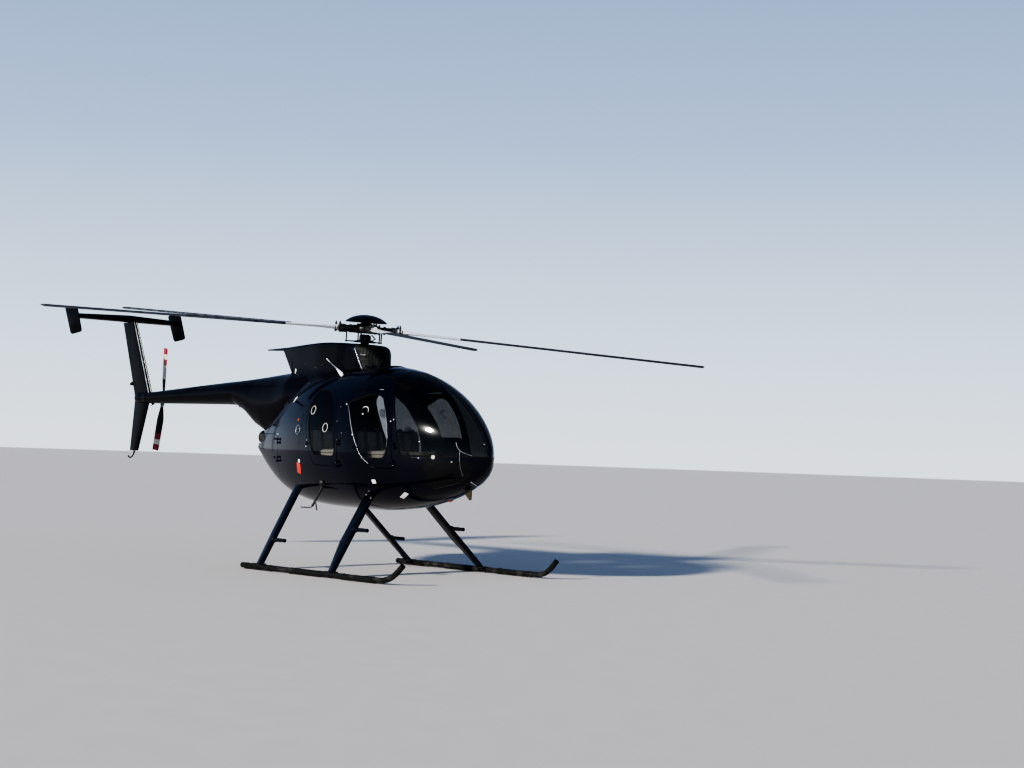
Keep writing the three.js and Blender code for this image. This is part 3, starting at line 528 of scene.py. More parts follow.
def gather(*parts):
    """Puts several bmeshes into the first one."""
    whole = parts[0]
    for part in parts[1:]:
        mesh = bpy.data.meshes.new("part")
        part.to_mesh(mesh)
        part.free()
        whole.from_mesh(mesh)
        bpy.data.meshes.remove(mesh)
    return whole


def copied(bm, matrix):
    other = moved(bm.copy(), matrix)
    if matrix.determinant() < 0:
        bmesh.ops.reverse_faces(other, faces=other.faces)
    return other


def mirrored(bm, side):
    return copied(bm, Matrix.Diagonal((1, side, 1, 1)))


def cut(bm, *steps):
    """Cuts, joins or keeps what is common with other closed bmeshes, one step after another."""
    target = add_mesh(bm, "work")
    tools = []
    for operation, tool in steps:
        other = add_mesh(tool, "tool")
        tools.append(other)
        modifier = target.modifiers.new("cut", "BOOLEAN")
        modifier.operation = operation
        modifier.solver = "MANIFOLD"
        modifier.object = other
    result = with_modifiers(target)
    made = bmesh.new()
    made.from_mesh(result)
    for item in [target, *tools]:
        mesh = item.data
        bpy.data.objects.remove(item)
        bpy.data.meshes.remove(mesh)
    bpy.data.meshes.remove(result)
    return made


def keep_largest(bm):
    """Removes every loose island but the largest."""
    left, islands = set(bm.verts), []
    while left:
        stack, island = [left.pop()], set()
        while stack:
            vertex = stack.pop()
            island.add(vertex)
            for edge in vertex.link_edges:
                other = edge.other_vert(vertex)
                if other in left:
                    left.remove(other)
                    stack.append(other)
        islands.append(island)
    islands.sort(key=len)
    for island in islands[:-1]:
        bmesh.ops.delete(bm, geom=list(island), context="VERTS")
    return bm


def paint_faces(bm, choose):
    """Gives each face the material number that the function returns for its centre and normal."""
    for face in bm.faces:
        face.material_index = choose(face.calc_center_median(), face.normal)
    return bm


def piece(name, bm, finishes, replaces="", body="fuselage", matrix=None, angle=35, normal_of=None):
    """A finished piece: its mesh is put in place, shaded, given its finishes and set on its body.
    """
    if matrix:
        bmesh.ops.transform(bm, matrix=matrix, verts=bm.verts)
    mesh = bpy.data.meshes.new(name)
    bm.to_mesh(mesh)
    bm.free()
    finishes = finishes if isinstance(finishes, list) else [finishes]
    for finish in finishes:
        mesh.materials.append(finish)
    mesh.polygons.foreach_set("use_smooth", [True] * len(mesh.polygons))
    mesh.set_sharp_from_angle(angle=radians(angle))
    if normal_of:
        follow_surface(mesh, normal_of)
    mesh.transform(shift(MAST_FOOT))
    made = add_object(name, mesh)
    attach(made, body)
    if replaces:
        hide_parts(replaces)
    return made


SAME_WAY = 0.93  # least cosine between a face and the surface that it lies on


def follow_surface(mesh, normal_of):
    """Takes the shading of the faces that lie on a curved surface from the surface itself."""
    normals = [Vector(corner.vector) for corner in mesh.corner_normals]
    for polygon in mesh.polygons:
        if polygon.normal.dot(normal_of(polygon.center)) < SAME_WAY:
            continue
        for loop in polygon.loop_indices:
            normals[loop] = normal_of(mesh.vertices[mesh.loops[loop].vertex_index].co)
    mesh.normals_split_custom_set(normals)


# The pod
def pod_size(x, inset=0.0):
    ahead = x >= WIDE
    reach = (NOSE - WIDE if ahead else WIDE - TAIL) - inset
    share = min(1.0, abs(x - WIDE) / reach)
    curves = NOSE_CURVE if ahead else TAIL_CURVE
    sizes = {}
    for name, (power, root) in curves.items():
        sizes[name] = (REACH[name] - inset) * max(0.0, 1 - share**power) ** root
    return sizes


def pod_level(point):
    size = pod_size(point.x)
    rise = size["up"] if point.z > MID else size["down"]
    across = abs(point.y) / max(size["half"], 1e-4)
    return across**SECTION_POWER + (abs(point.z - MID) / max(rise, 1e-4)) ** SECTION_POWER


def pod_normal(point):
    step = 5e-4
    point = Vector(point)
    point.x = min(max(point.x, TAIL + 2 * step), NOSE - 2 * step)
    slope = [
        pod_level(point + step * axis) - pod_level(point - step * axis)
        for axis in (Vector((1, 0, 0)), Vector((0, 1, 0)), Vector((0, 0, 1)))
    ]
    return Vector(slope).normalized()


def pod_half(x, z, lift=0.0):
    """The half width of the pod at a place along it and a height."""
    size = pod_size(x, -lift)
    rise = size["up"] if z > MID else size["down"]
    left = 1 - (abs(z - MID) / max(rise, 1e-4)) ** SECTION_POWER
    return size["half"] * max(0.0, left) ** (1 / SECTION_POWER)


def on_pod(x, z, side, lift=0.0):
    base = Vector((x, side * pod_half(x, z), z))
    return base + pod_normal(base) * lift


def on_roof(x, y):
    """The height of the pod's skin over a place in its plan."""
    size = pod_size(x)
    left = 1 - min(1.0, abs(y) / max(size["half"], 1e-4)) ** SECTION_POWER
    return MID + size["up"] * left ** (1 / SECTION_POWER)


def signed_power(value, power):
    return copysign(abs(value) ** power, value)


POD_AROUND, POD_ALONG = 128, 80


def pod_solid(inset):
    bm = bmesh.new()
    bmesh.ops.create_uvsphere(bm, u_segments=POD_AROUND, v_segments=POD_ALONG, radius=1)
    for vertex in bm.verts:
        along = vertex.co.z
        angle = atan2(vertex.co.y, vertex.co.x)
        x = WIDE + along * ((NOSE - WIDE if along > 0 else WIDE - TAIL) - inset)
        size = pod_size(x, inset)
        rise = size["up"] if sin(angle) > 0 else size["down"]
        y = size["half"] * signed_power(cos(angle), 2 / SECTION_POWER)
        vertex.co = (x, y, MID + rise * signed_power(sin(angle), 2 / SECTION_POWER))
    return face_outwards(bm)


def pod_shell(thickness):
    return cut(pod_solid(0), ("DIFFERENCE", pod_solid(thickness)))


WALL_SHELL = pod_shell(SKIN)
GLASS_SHELL = pod_shell(GLASS)
POD_BODY = pod_solid(-0.0005)
BIG = 8.0

DOORS = {
    "front": {
        "hinge": 1.215,
        "curve": metres([
            (120, 1212), (270, 1216), (352, 1250), (465, 1340), (563, 1500), (636, 1650), (706, 1800),
            (795, 1935), (795, 2015), (720, 2080), (560, 2100),
        ]),
        "edge": metres([
            (1195, 1000), (1197, 1300), (1188, 1440), (1160, 1620), (1115, 1780), (1035, 1940), (930, 2070),
            (820, 2140),
        ]),
        "window": metres([
            (800, 1325), (1085, 1325), (1122, 1440), (1115, 1600), (1072, 1760), (1005, 1900), (925, 2020),
            (760, 2045), (590, 1990), (445, 1940), (545, 1790), (625, 1640), (700, 1480), (740, 1390),
        ]),
    },
    "rear": {
        "hinge": 0.39,
        "curve": metres([
            (330, 1212), (470, 1216), (540, 1245), (618, 1340), (701, 1500), (766, 1680), (800, 1850),
            (806, 1990), (770, 2080), (680, 2128), (480, 2140),
        ]),
        "edge": metres([
            (378, 1000), (378, 1420), (362, 1520), (312, 1700), (208, 1945), (105, 2060), (-20, 2125),
            (-140, 2160),
        ]),
        "window": metres([
            (-110, 1330), (318, 1325), (318, 1500), (265, 1700), (150, 1935), (35, 2050), (-60, 2090),
            (-230, 2085), (-325, 1990), (-330, 1850), (-300, 1680), (-235, 1500), (-170, 1390),
        ]),
    },
}
ENGINE_DOOR = {"hinge": -1.13, "front": -1.15, "low": 0.7, "high": 1.56}
HINGE_OUT = 0.018
WINDOW_CORNER = 0.045
WINDSHIELD = metres([
    (2400, 1372), (1290, 1372), (1237, 1534), (1172, 1755), (1078, 1980), (1000, 2110), (950, 2260),
    (940, 2420), (2400, 2420),
])
WINDSHIELD_POST = 0.026
CHIN = metres([(1560, 1000), (1870, 1080), (2030, 1200), (2050, 1310), (1560, 1310)])


def side_span(side, inner, outer=0.9):
    return (inner, outer) if side > 0 else (-outer, -inner)


def shrunk(outline, by):
    """The outline with each corner drawn in towards the middle."""
    centre = Vector((sum(x for x, _ in outline), sum(z for _, z in outline))) / len(outline)
    corners = []
    for corner in outline:
        away = Vector(corner) - centre
        corners.append(tuple(centre + away * (1 - by / away.length)))
    return corners


def door_line(door, shrink):
    """The door's rear edge as (distance from the hinge's pin, height), set in by shrink."""
    curve = smooth_line([(reach, 0, z) for reach, z in door["curve"]], 4)
    line = []
    for i, point in enumerate(curve):
        along = (curve[min(i + 1, len(curve) - 1)] - curve[max(i - 1, 0)]).normalized()
        line.append((point.x - shrink * along.z, point.z + shrink * along.x))
    return line


def door_space(door, side, shrink):
    """The space of a door's panel. Its rear wall is turned about the hinge, so that the door clears it."""
    pin_y = side * (pod_size(door["hinge"])["half"] + HINGE_OUT)
    line = door_line(door, shrink)
    profile = [(0, line[0][1]), *line, (0, line[-1][1])]
    sweep_space = turned(profile, 128, (door["hinge"], pin_y, 0))
    aft = door["hinge"] - 1.2
    face = [(aft, 1.0), *((x - shrink * 1.2, z) for x, z in door["edge"]), (aft, 2.2)]
    return cut(sweep_space, ("INTERSECT", slab(face, *side_span(side, 0.06))))


def window_prism(outline, side, by=0.0, inner=0.1, corner=WINDOW_CORNER):
    return slab(shrunk(outline, by) if by else outline, *side_span(side, inner), corner, 6)


def lined(bm):
    """Trim on the faces that look into the pod, paint on the others."""
    return paint_faces(bm, lambda centre, normal: 1 if normal.dot(pod_normal(centre)) < -0.5 else 0)


NOSE_SPACE = ((NOSE_SEAM[0], -BIG, -BIG), (BIG, BIG, NOSE_SEAM[1]))
openings = []
for side_name, side in SIDES.items():
    for place, door in DOORS.items():
        openings.append(("DIFFERENCE", door_space(door, side, 0)))
        panel = cut(
            WALL_SHELL.copy(),
            ("INTERSECT", door_space(door, side, DOOR_GAP)),
            ("DIFFERENCE", window_prism(door["window"], side)),
        )
        body = f"{place}_door_{side_name}"
        piece(f"door_panel_{place}_{side_name}", lined(keep_largest(panel)), [NAVY, TRIM],
              f"door_{place}_{side_name}", body=body, normal_of=pod_normal)
        pane = cut(GLASS_SHELL.copy(), ("INTERSECT", window_prism(door["window"], side, 0.001)))
        piece(f"door_pane_{place}_{side_name}", keep_largest(pane), DOOR_GLASS,
              f"window_{place}_{side_name}", body=body, normal_of=pod_normal)
    openings.append(("DIFFERENCE", window_prism(WINDSHIELD, side, 0, WINDSHIELD_POST, 0.04)))
    prism = window_prism(WINDSHIELD, side, 0.001, WINDSHIELD_POST + 0.0005, 0.04)
    shield = cut(GLASS_SHELL.copy(), ("INTERSECT", prism))
    piece(f"windshield_pane_{side_name}", shield, TINTED, f"windshield_{side_name}", normal_of=pod_normal)
    chin = cut(GLASS_SHELL.copy(), ("INTERSECT", window_prism(CHIN, side, 0.001, 0.0705, 0.06)))
    piece(f"chin_pane_{side_name}", chin, SMOKED, f"chin_window_{side_name}", normal_of=pod_normal)

chin_holes = [("DIFFERENCE", window_prism(CHIN, side, 0, 0.07, 0.06)) for side in SIDES.values()]
SEAM = 0.0015
nose_space = box((NOSE_SEAM[0] + SEAM, -BIG, -BIG), (BIG, BIG, NOSE_SEAM[1] - SEAM))
nose = cut(WALL_SHELL.copy(), ("INTERSECT", nose_space), *chin_holes)
piece("nose_skin", lined(nose), [NAVY, TRIM], "nose_hull", normal_of=pod_normal)
cabin = cut(
    WALL_SHELL.copy(),
    ("INTERSECT", box((FIREWALL_X + SEAM, -BIG, -BIG), (BIG, BIG, BIG))),
    ("DIFFERENCE", box(*NOSE_SPACE)),
    *openings,
)
piece("cabin_skin", lined(cabin), [NAVY, TRIM], "cabin_hull", normal_of=pod_normal)

# The engine bay, its two doors and the exhaust
EXHAUST_FROM, EXHAUST_TO = Vector((-1.27, 0, 1.4)), Vector((-1.87, 0, 1.52))
EXHAUST_RADIUS, EXHAUST_WALL = 0.084, 0.006
EXHAUST_WAY = EXHAUST_TO - EXHAUST_FROM


def exhaust_space():
    return rod(EXHAUST_FROM, EXHAUST_FROM + EXHAUST_WAY * 1.6, EXHAUST_RADIUS + 0.009, steps=48)


aft = cut(
    WALL_SHELL.copy(),
    ("INTERSECT", box((-BIG, -BIG, -BIG), (FIREWALL_X, BIG, BIG))),
    ("DIFFERENCE", box((-BIG, -BIG, ENGINE_DOOR["low"]), (ENGINE_DOOR["front"], BIG, ENGINE_DOOR["high"]))),
    ("DIFFERENCE", exhaust_space()),
)
piece("engine_bay_skin", lined(aft), [NAVY, ALUMINIUM], "aft_hull", normal_of=pod_normal)
for side_name, side in SIDES.items():
    low_y, high_y = side_span(side, DOOR_GAP / 2)
    space = box(
        (-BIG, low_y, ENGINE_DOOR["low"]),
        (ENGINE_DOOR["front"] - DOOR_GAP, high_y, ENGINE_DOOR["high"] - DOOR_GAP),
    )
    leaf = cut(WALL_SHELL.copy(), ("INTERSECT", space), ("DIFFERENCE", exhaust_space()))
    piece(f"engine_cowl_{side_name}", lined(keep_largest(leaf)), [NAVY, ALUMINIUM],
          f"engine_door_{side_name}", body=f"engine_door_{side_name}_body", normal_of=pod_normal)

pipe_length = EXHAUST_WAY.length
pipe_profile = [
    (EXHAUST_RADIUS - EXHAUST_WALL, 0.02), (EXHAUST_RADIUS, 0.02), (EXHAUST_RADIUS, 0.16),
    (EXHAUST_RADIUS - 0.004, 0.17), (EXHAUST_RADIUS - 0.004, 0.2), (EXHAUST_RADIUS, 0.21),
    (EXHAUST_RADIUS, pipe_length - 0.012), (EXHAUST_RADIUS - 0.001, pipe_length),
    (EXHAUST_RADIUS - EXHAUST_WALL, pipe_length - 0.004), (EXHAUST_RADIUS - EXHAUST_WALL, 0.02),
]
piece("exhaust_tube", turned(pipe_profile, 48, EXHAUST_FROM, EXHAUST_WAY), EXHAUST_METAL, "exhaust_pipe")

# Fittings on the pod
def pod_frame(x, z, side, lift=0.0, turn=0.0):
    """A frame on the pod's skin: its Z points out of the skin and its Y leans up."""
    out = pod_normal(on_pod(x, z, side))
    up = (Vector((0, 0, 1)) - out * out.z).normalized()
    frame = Matrix((up.cross(out), up, out)).transposed().to_4x4()
    return shift(on_pod(x, z, side, lift)) @ frame @ spin(turn)


def on_skin(bm, x, z, side, lift=0.0, turn=0.0):
    """Puts a fitting, drawn standing on its Z axis, on the pod's skin."""
    return moved(bm, pod_frame(x, z, side, lift, turn))


def button(radius, height, steps=20):
    """A low round fastener with a rounded rim, standing on its Z axis."""
    rim = min(radius, height) * 0.45
    return turned([(0, -0.002), (radius, -0.002), (radius, height - rim), (radius - rim, height),
                   (0, height)], steps)


def studs(side, radius, height, *places, steps=20):
    """Fasteners at the (x, z) places on the pod's skin."""
    return [on_skin(button(radius, height, steps), x, z, side) for x, z in places]


def collar_ring(inner, outer, height, steps=40):
    """A flat ring with rounded rims, open in the middle."""
    rim = min(0.003, (outer - inner) * 0.3)
    profile = [(inner, -0.003), (inner, height - rim), (inner + rim, height), (outer - rim, height),
               (outer, height - rim)]
    return turned([*profile, (outer, -0.003), (inner, -0.003)], steps)


def plate(wide, high, thick=0.003, lean=0.0):
    """A small bare plate with rounded corners; lean pushes its top sideways."""
    a, b = wide / 2, high / 2
    outline = [(-a - lean, -b), (a - lean, -b), (a + lean, b), (-a + lean, b)]
    return slab(outline, -0.002, thick, min(wide, high) * 0.12, 3, 0.0008, "xy")


def rounded_line(outline, corner, longest=0.04):
    """The points round a closed outline after its corners are rounded, no further apart than the longest."""
    bm = bmesh.new()
    corners = [bm.verts.new((x, 0, z)) for x, z in outline]
    bm.faces.new(corners)
    round_corners(bm, corners, corner, 6)
    bmesh.ops.dissolve_degenerate(bm, dist=WELD, edges=bm.edges)
    bm.faces.ensure_lookup_table()
    around = [vertex.co.copy() for vertex in bm.faces[0].verts]
    bm.free()
    line = []
    for first, second in zip(around, around[1:] + around[:1]):
        steps = max(1, ceil((second - first).length / longest))
        line += [first.lerp(second, k / steps) for k in range(steps)]
    return [(p.x, p.z) for p in line]


def bead(line, side, radius, lift=0.0, closed=True, flat=1.0):
    return sweep([on_pod(x, z, side, lift) for x, z in line], radius, 10, closed, flat)


def door_edge(door, side, shrink, lift):
    """Points on the skin along a door's rear edge, set in by shrink."""
    pin = Vector((door["hinge"], side * (pod_size(door["hinge"])["half"] + HINGE_OUT)))
    line = []
    for reach, z in door_line(door, shrink):
        near, far = door["hinge"], door["hinge"] - 1.4
        for _ in range(24):
            x = (near + far) / 2
            if (Vector((x, side * pod_half(x, z))) - pin).length > reach:
                far = x
            else:
                near = x
        line.append(on_pod(near, z, side, lift))
    return line


HINGES = {
    # pin's place along X, heights of the door's knuckles, reach of its leaf, length and depth of the leaf's
    # foot, depth of the frame's foot
    "front": (DOORS["front"]["hinge"], (1.275, 1.47), 0.075, 0.0168, 0.034, 0.045),
    "rear": (DOORS["rear"]["hinge"], (1.24, 1.49), 0.068, 0.0168, 0.044, 0.042),
    "engine": (ENGINE_DOOR["hinge"], (1.26, 1.48), 0.07, 0.0238, 0.062, 0.05),
}
KNUCKLE, KNUCKLE_STEP = 0.036, 0.042
BARREL = [
    (0, 0.0005), (0.0062, 0.0005), (0.0078, 0.002), (0.0078, 0.021), (0.007, 0.0225), (0.0078, 0.024),
    (0.0078, KNUCKLE - 0.002), (0.0062, KNUCKLE - 0.0005), (0, KNUCKLE - 0.0005),
]
SIDEWAYS = spin(pi / 2, "X")


def hinge_half(pin_x, heights, leaf, foot, depth, screw):
    """One half of a door's hinges on the port side: knuckles, leaves, their feet in the skin, and screws.

    The spans of the leaf and its foot and the screws' place are given along X from the pin.
    """
    pin_y = pod_size(pin_x)["half"] + HINGE_OUT
    parts = []
    for z in heights:
        top = z + KNUCKLE
        parts += [
            turned(BARREL, 16, (pin_x, pin_y, z)),
            box((pin_x + leaf[0], pin_y - 0.003, z + 0.008), (pin_x + leaf[1], pin_y + 0.001, top - 0.008),
                0.0012),
            box((pin_x + foot[0], pin_y - depth, z + 0.01), (pin_x + foot[1], pin_y, top - 0.01), 0.002),
        ]
        for rise in (0.0125, 0.0235):
            screw_place = shift((pin_x + screw, pin_y + 0.001, z + rise))
            parts.append(moved(button(0.004, 0.003, 12), screw_place @ SIDEWAYS.inverted()))
    return gather(*parts)


for place, (pin_x, heights, reach, foot, depth, frame_depth) in HINGES.items():
    spans = (-reach, -0.003), (0.001 - reach, foot - reach)
    door_half = hinge_half(pin_x, heights, *spans, depth, 0.012 - reach)
    frame_heights = [z - KNUCKLE_STEP for z in heights]
    frame_half = hinge_half(pin_x, frame_heights, (0.003, 0.03), (0.01, 0.027), frame_depth, 0.018)
    for side_name, side in SIDES.items():
        body = f"engine_door_{side_name}_body" if place == "engine" else f"{place}_door_{side_name}"
        piece(f"hinge_leaf_{place}_{side_name}", mirrored(door_half, side), NAVY, body=body)
        piece(f"hinge_root_{place}_{side_name}", mirrored(frame_half, side), NAVY)
    door_half.free()
    frame_half.free()


def door_lever(x, z, side):
    """A flush door handle: a shallow cup and a flat lever across it."""
    lever = slab(metres([(-14, -9), (62, -7), (66, 0), (62, 7), (-14, 9)]), 0.003, 0.009, 0.004, 3, 0.0015,
                 "xy")
    return gather(
        on_skin(collar_ring(0.019, 0.025, 0.004, 28), x, z, side),
        on_skin(lever, x, z, side, 0, radians(4 * side)),
        on_skin(button(0.008, 0.012, 16), x, z, side),
    )


LEVERS = {"front": (0.665, 1.44), "rear": (-0.29, 1.46)}
REAR_VENTS = [(-0.248, 1.85), (0.098, 1.649)]
VENT_DISC = [(0, 0.001), (0.04, 0.001), (0.04, 0.004), (0.014, 0.009), (0, 0.009)]
for side_name, side in SIDES.items():
    for place, door in DOORS.items():
        body = f"{place}_door_{side_name}"
        rim = bead(rounded_line(door["window"], WINDOW_CORNER), side, 0.0055, 0.0005, True, 0.6)
        piece(f"window_seal_{place}_{side_name}", rim, RUBBER, body=body, angle=60)
        piece(f"door_lever_{place}_{side_name}", door_lever(*LEVERS[place], side), BLACK, body=body)
    # The front door's bright trim along its rear edge and its latches, and a thin bright bead along the
    # window's front edge, which is a painted highlight of the window's seal
    front_door, rear_door = f"front_door_{side_name}", f"rear_door_{side_name}"
    edge = [p for p in door_edge(DOORS["front"], side, 0.013, 0.0005) if 1.25 < p.z < 1.94 and p.x < 1.0]
    window = rounded_line(DOORS["front"]["window"], WINDOW_CORNER)
    # A thin bright bead along the front window's front edge: a painted highlight of the seal.
    window_edge_highlight = sorted([(x, z) for x, z in window if x > 1.02 and 1.45 < z < 1.88], key=lambda p: p[1])
    trim = [sweep(edge, 0.0027, 10), *studs(side, 0.013, 0.008, (0.417, 1.924), (0.63, 1.578))]
    trim += [*studs(side, 0.009, 0.006, (1.128, 1.74)), bead(window_edge_highlight, side, 0.0012, 0.0036, False)]
    piece(f"door_trim_and_highlight_{side_name}", gather(*trim), BRIGHT_TRIM_AND_HIGHLIGHT, body=front_door, angle=50)
    # Round air vents in the rear window, and a half-open one in the front window
    rims = [on_skin(collar_ring(0.0465, 0.0535, 0.004), x, z, side) for x, z in REAR_VENTS]
    piece(f"rear_vent_rims_{side_name}", gather(*rims), BAND_CREAM, body=rear_door, angle=50)
    scoops = [on_skin(turned(VENT_DISC, 32), x, z, side) for x, z in REAR_VENTS]
    piece(f"rear_vent_discs_{side_name}", gather(*scoops), DOOR_GLASS, body=rear_door, angle=40)
    angles = [radians(-20 + 14 * k) for k in range(13)]
    arc = [(0.052 * cos(a), 0.052 * sin(a), 0.004) for a in angles]
    crescent = sweep(arc, [0.001 + 0.0038 * sin(pi * k / 12) for k in range(13)], 10)
    vent = gather(on_skin(crescent, 0.747, 1.848, side), *studs(side, 0.009, 0.014, (0.731, 1.813)))
    piece(f"front_vent_{side_name}", vent, WHITE, body=front_door, angle=50)


def glazing_edges(side):
    """The rubber along a windshield: its sill, its rear edge and both sides of the post in the middle."""
    sill = [(2.155 - 0.865 * k / 24, 1.372) for k in range(24)]
    line = [(x, z) for x, z in sill + side_curve(WINDSHIELD[1:6], 8) if pod_half(x, z) > 0.045]
    y = WINDSHIELD_POST + 0.002
    middle = [2.158 - 0.003 * k for k in range(8)] + [2.13 - 0.03 * k for k in range(38)]
    post = [Vector((x, side * y, on_roof(x, y))) for x in middle]
    return gather(bead(line, side, 0.005, 0.0005, False, 0.7), sweep(post, 0.0045, 10))


for side_name, side in SIDES.items():
    chin_rubber = bead(rounded_line(CHIN, 0.06), side, 0.0048, 0.0005, True, 0.7)
    piece(f"windshield_seal_{side_name}", gather(glazing_edges(side), chin_rubber), RUBBER, angle=60)

GLAZING_CURVE = side_curve(metres([(1895, 1530), (1918, 1470), (1961, 1427), (2050, 1388)]), 6)
GLAZING_POST = [(1.94, 1.449 - 0.0284 * k) for k in range(11)]
for side_name, side in SIDES.items():
    lines = [bead(GLAZING_CURVE, side, 0.0026, 0.001, False), bead(GLAZING_POST, side, 0.0022, 0.001, False)]
    lines += studs(side, 0.009, 0.006, (2.121, 1.518), (1.512, 1.525), (1.864, 1.314))
    piece(f"glazing_lines_{side_name}", gather(*lines), BRIGHT_TRIM_AND_HIGHLIGHT, angle=60)

# Small plain fittings and bare plates, on the starboard side as the photograph shows
FILLER = (-0.555, 1.617, -1)
piece("filler_rim", on_skin(collar_ring(0.05, 0.06, 0.006), *FILLER), BRIGHT_TRIM_AND_HIGHLIGHT, angle=40)
filler = gather(button(0.046, 0.004, 32), plate(0.052, 0.012, 0.009))
piece("filler_cap", on_skin(filler, *FILLER), NAVY, angle=40)
piece("filler_mark", on_skin(button(0.017, 0.003), -0.582, 1.734, -1), SIGNAL_RED)
piece("red_plate", on_skin(plate(0.1, 0.13), -0.509, 1.165, -1, 0, -0.24), SIGNAL_RED)
piece("small_white_plate", on_skin(plate(0.042, 0.04), -0.485, 1.25, -1), WHITE)
piece("sill_plate", on_skin(plate(0.054, 0.05), 0.903, 1.061, -1, 0, 0.1), WHITE)
piece("belly_plate", on_skin(plate(0.05, 0.125, 0.003, 0.012), 1.195, 0.918, -1, 0, -0.62), WHITE)

# Fasteners on both sides
FASTENERS = [
    # radius, height and the places
    (0.0085, 0.004, [(-0.288, 1.498)]),
    (0.00765, 0.004, [(-0.302, 1.422), (0.319, 1.727), (0.322, 1.894)]),
    (0.0068, 0.004, [(0.44, 1.592)]),
    (0.009, 0.005, [(1.512, 1.345), (1.164, 1.761), (0.767, 0.949)]),
    (0.012, 0.008, [(0.717, 0.869), (0.69, 0.905)]),
]
SEAM_SCREWS = [(x, 1.02 + 0.11 * k) for k in range(9) for x in (-0.46, -0.5)]
SEAM_SCREWS += [(1.43, 0.86 + 0.075 * k) for k in range(7)]
for side_name, side in SIDES.items():
    screws = [stud for radius, height, places in FASTENERS for stud in studs(side, radius, height, *places)]
    piece(f"skin_fasteners_{side_name}", gather(*screws), BRIGHT)
    piece(f"seam_screws_{side_name}", gather(*studs(side, 0.0055, 0.002, *SEAM_SCREWS, steps=12)), NAVY)
stem = rod((0, 0, -0.05), (0, 0, 0), 0.004, None, 12)
gauge = gather(collar_ring(0.017, 0.023, 0.009, 28), button(0.016, 0.006, 24), stem)
piece("air_thermometer", on_skin(gauge, 1.675, 1.36, -1), BAND_CREAM, angle=40)
probe = gather(
    rod((1.95, -0.09, 1.108), (2.012, -0.034, 1.052), 0.0055, 0.004, 14, 0.001),
    rod((1.94, -0.092, 1.112), (1.965, -0.077, 1.095), 0.009, 0.008, 14, 0.002),
)
piece("air_probe", probe, BRIGHT, angle=50)


def teardrop_lamp(length, wide, high):
    """A small streamlined lamp."""
    angles = [TAU * k / 20 for k in range(20)]
    sections = []
    for share, size in ((0.0, 0.3), (0.12, 0.72), (0.3, 1.0), (0.6, 0.85), (0.85, 0.45), (1.0, 0.08)):
        x = length * (0.5 - share)
        sections.append([Vector((x, wide / 2 * size * cos(a), high * size * sin(a))) for a in angles])
    return loft(sections)


for side_name, side in SIDES.items():
    turn = 0.85 if side < 0 else pi - 0.85
    lamp = on_skin(teardrop_lamp(0.11, 0.022, 0.011), -0.84, 1.975, side, 0.001, turn)
    piece(f"side_lamp_{side_name}", lamp, BAND_CREAM, angle=50)

# Tail boom
BOOM = metres([
    (-650, 2322, 1850, 262), (-900, 2336, 1750, 285), (-1150, 2330, 1700, 290), (-1400, 2304, 1575, 255),
    (-1750, 2267, 1578, 215), (-1950, 2248, 1660, 190), (-2170, 2228, 1812, 170), (-2380, 2212, 1905, 155),
    (-2600, 2198, 1912, 145), (-3260, 2148, 1912, 118), (-4400, 2058, 1912, 73),
])


def boom_sections(inset, steps=5, sides=48):
    stations = []
    for first, second in zip(BOOM, BOOM[1:]):
        stations += [[a + (b - a) * step / steps for a, b in zip(first, second)] for step in range(steps)]
    stations.append(list(BOOM[-1]))
    sections = []
    for x, top, bottom, half in stations:
        middle, rise = (top + bottom) / 2, (top - bottom) / 2 - inset
        angles = [TAU * j / sides for j in range(sides)]
        sections.append([Vector((x, (half - inset) * cos(a), middle + rise * sin(a))) for a in angles])
    return sections


boom = cut(loft(boom_sections(0)), ("DIFFERENCE", POD_BODY.copy()))
piece("boom_skin", keep_largest(boom), NAVY_TAIL, "tail_boom", angle=50)

# Fairings on the roof
FAIRING_TOP = side_curve(metres([
    (-1840, 2604), (-1300, 2630), (-550, 2664), (-100, 2652), (190, 2628), (290, 2592), (355, 2515),
    (375, 2440),
]), 6)
FAIRING_BOTTOM = metres([(-1840, 2592), (-1475, 2585), (-1232, 2300), (-1215, 2200), (375, 1950)])
FAIRING_PLAN = metres([
    (-1860, 8), (-1500, 45), (-1100, 130), (-600, 215), (-100, 240), (160, 235), (280, 185), (350, 115),
    (380, 30),
])
FLARE = metres([
    (-1232, 103, 103, 2200), (-1150, 118, 280, 1980), (-1040, 150, 300, 1940), (-824, 190, 339, 1988),
    (-683, 208, 350, 2052), (-494, 226, 342, 2149), (-284, 236, 336, 2210), (40, 240, 318, 2270),
    (120, 238, 238, 2200), (380, 30, 30, 2200),
])
FLARE_TOP = 2.335
PAD_THICK = 0.014
PAD_PLAN = metres([
    (-1150, 270), (-824, 339), (-683, 350), (-284, 336), (143, 310), (422, 322), (515, 290), (570, 215),
    (585, 90),
])
SPLIT = metres([(15, 2800), (15, 2600), (150, 2385), (150, 1800)])
# The seen split starts here and runs forward as it falls
SPLIT_TOP, SPLIT_RUN, SPLIT_FALL = (0.095, 2.578), 0.11, 0.225


def read_table(table, x, column=1):
    """Reads a column of a table by its first column, in straight lines."""
    if x <= table[0][0]:
        return table[0][column]
    for first, second in zip(table, table[1:]):
        if x <= second[0]:
            share = (x - first[0]) / (second[0] - first[0])
            return first[column] + (second[column] - first[column]) * share
    return table[-1][column]


def eased(table, x, column=1, reach=0.04):
    return sum(read_table(table, x + reach * k / 2, column) for k in (-2, -1, 0, 1, 2)) / 5


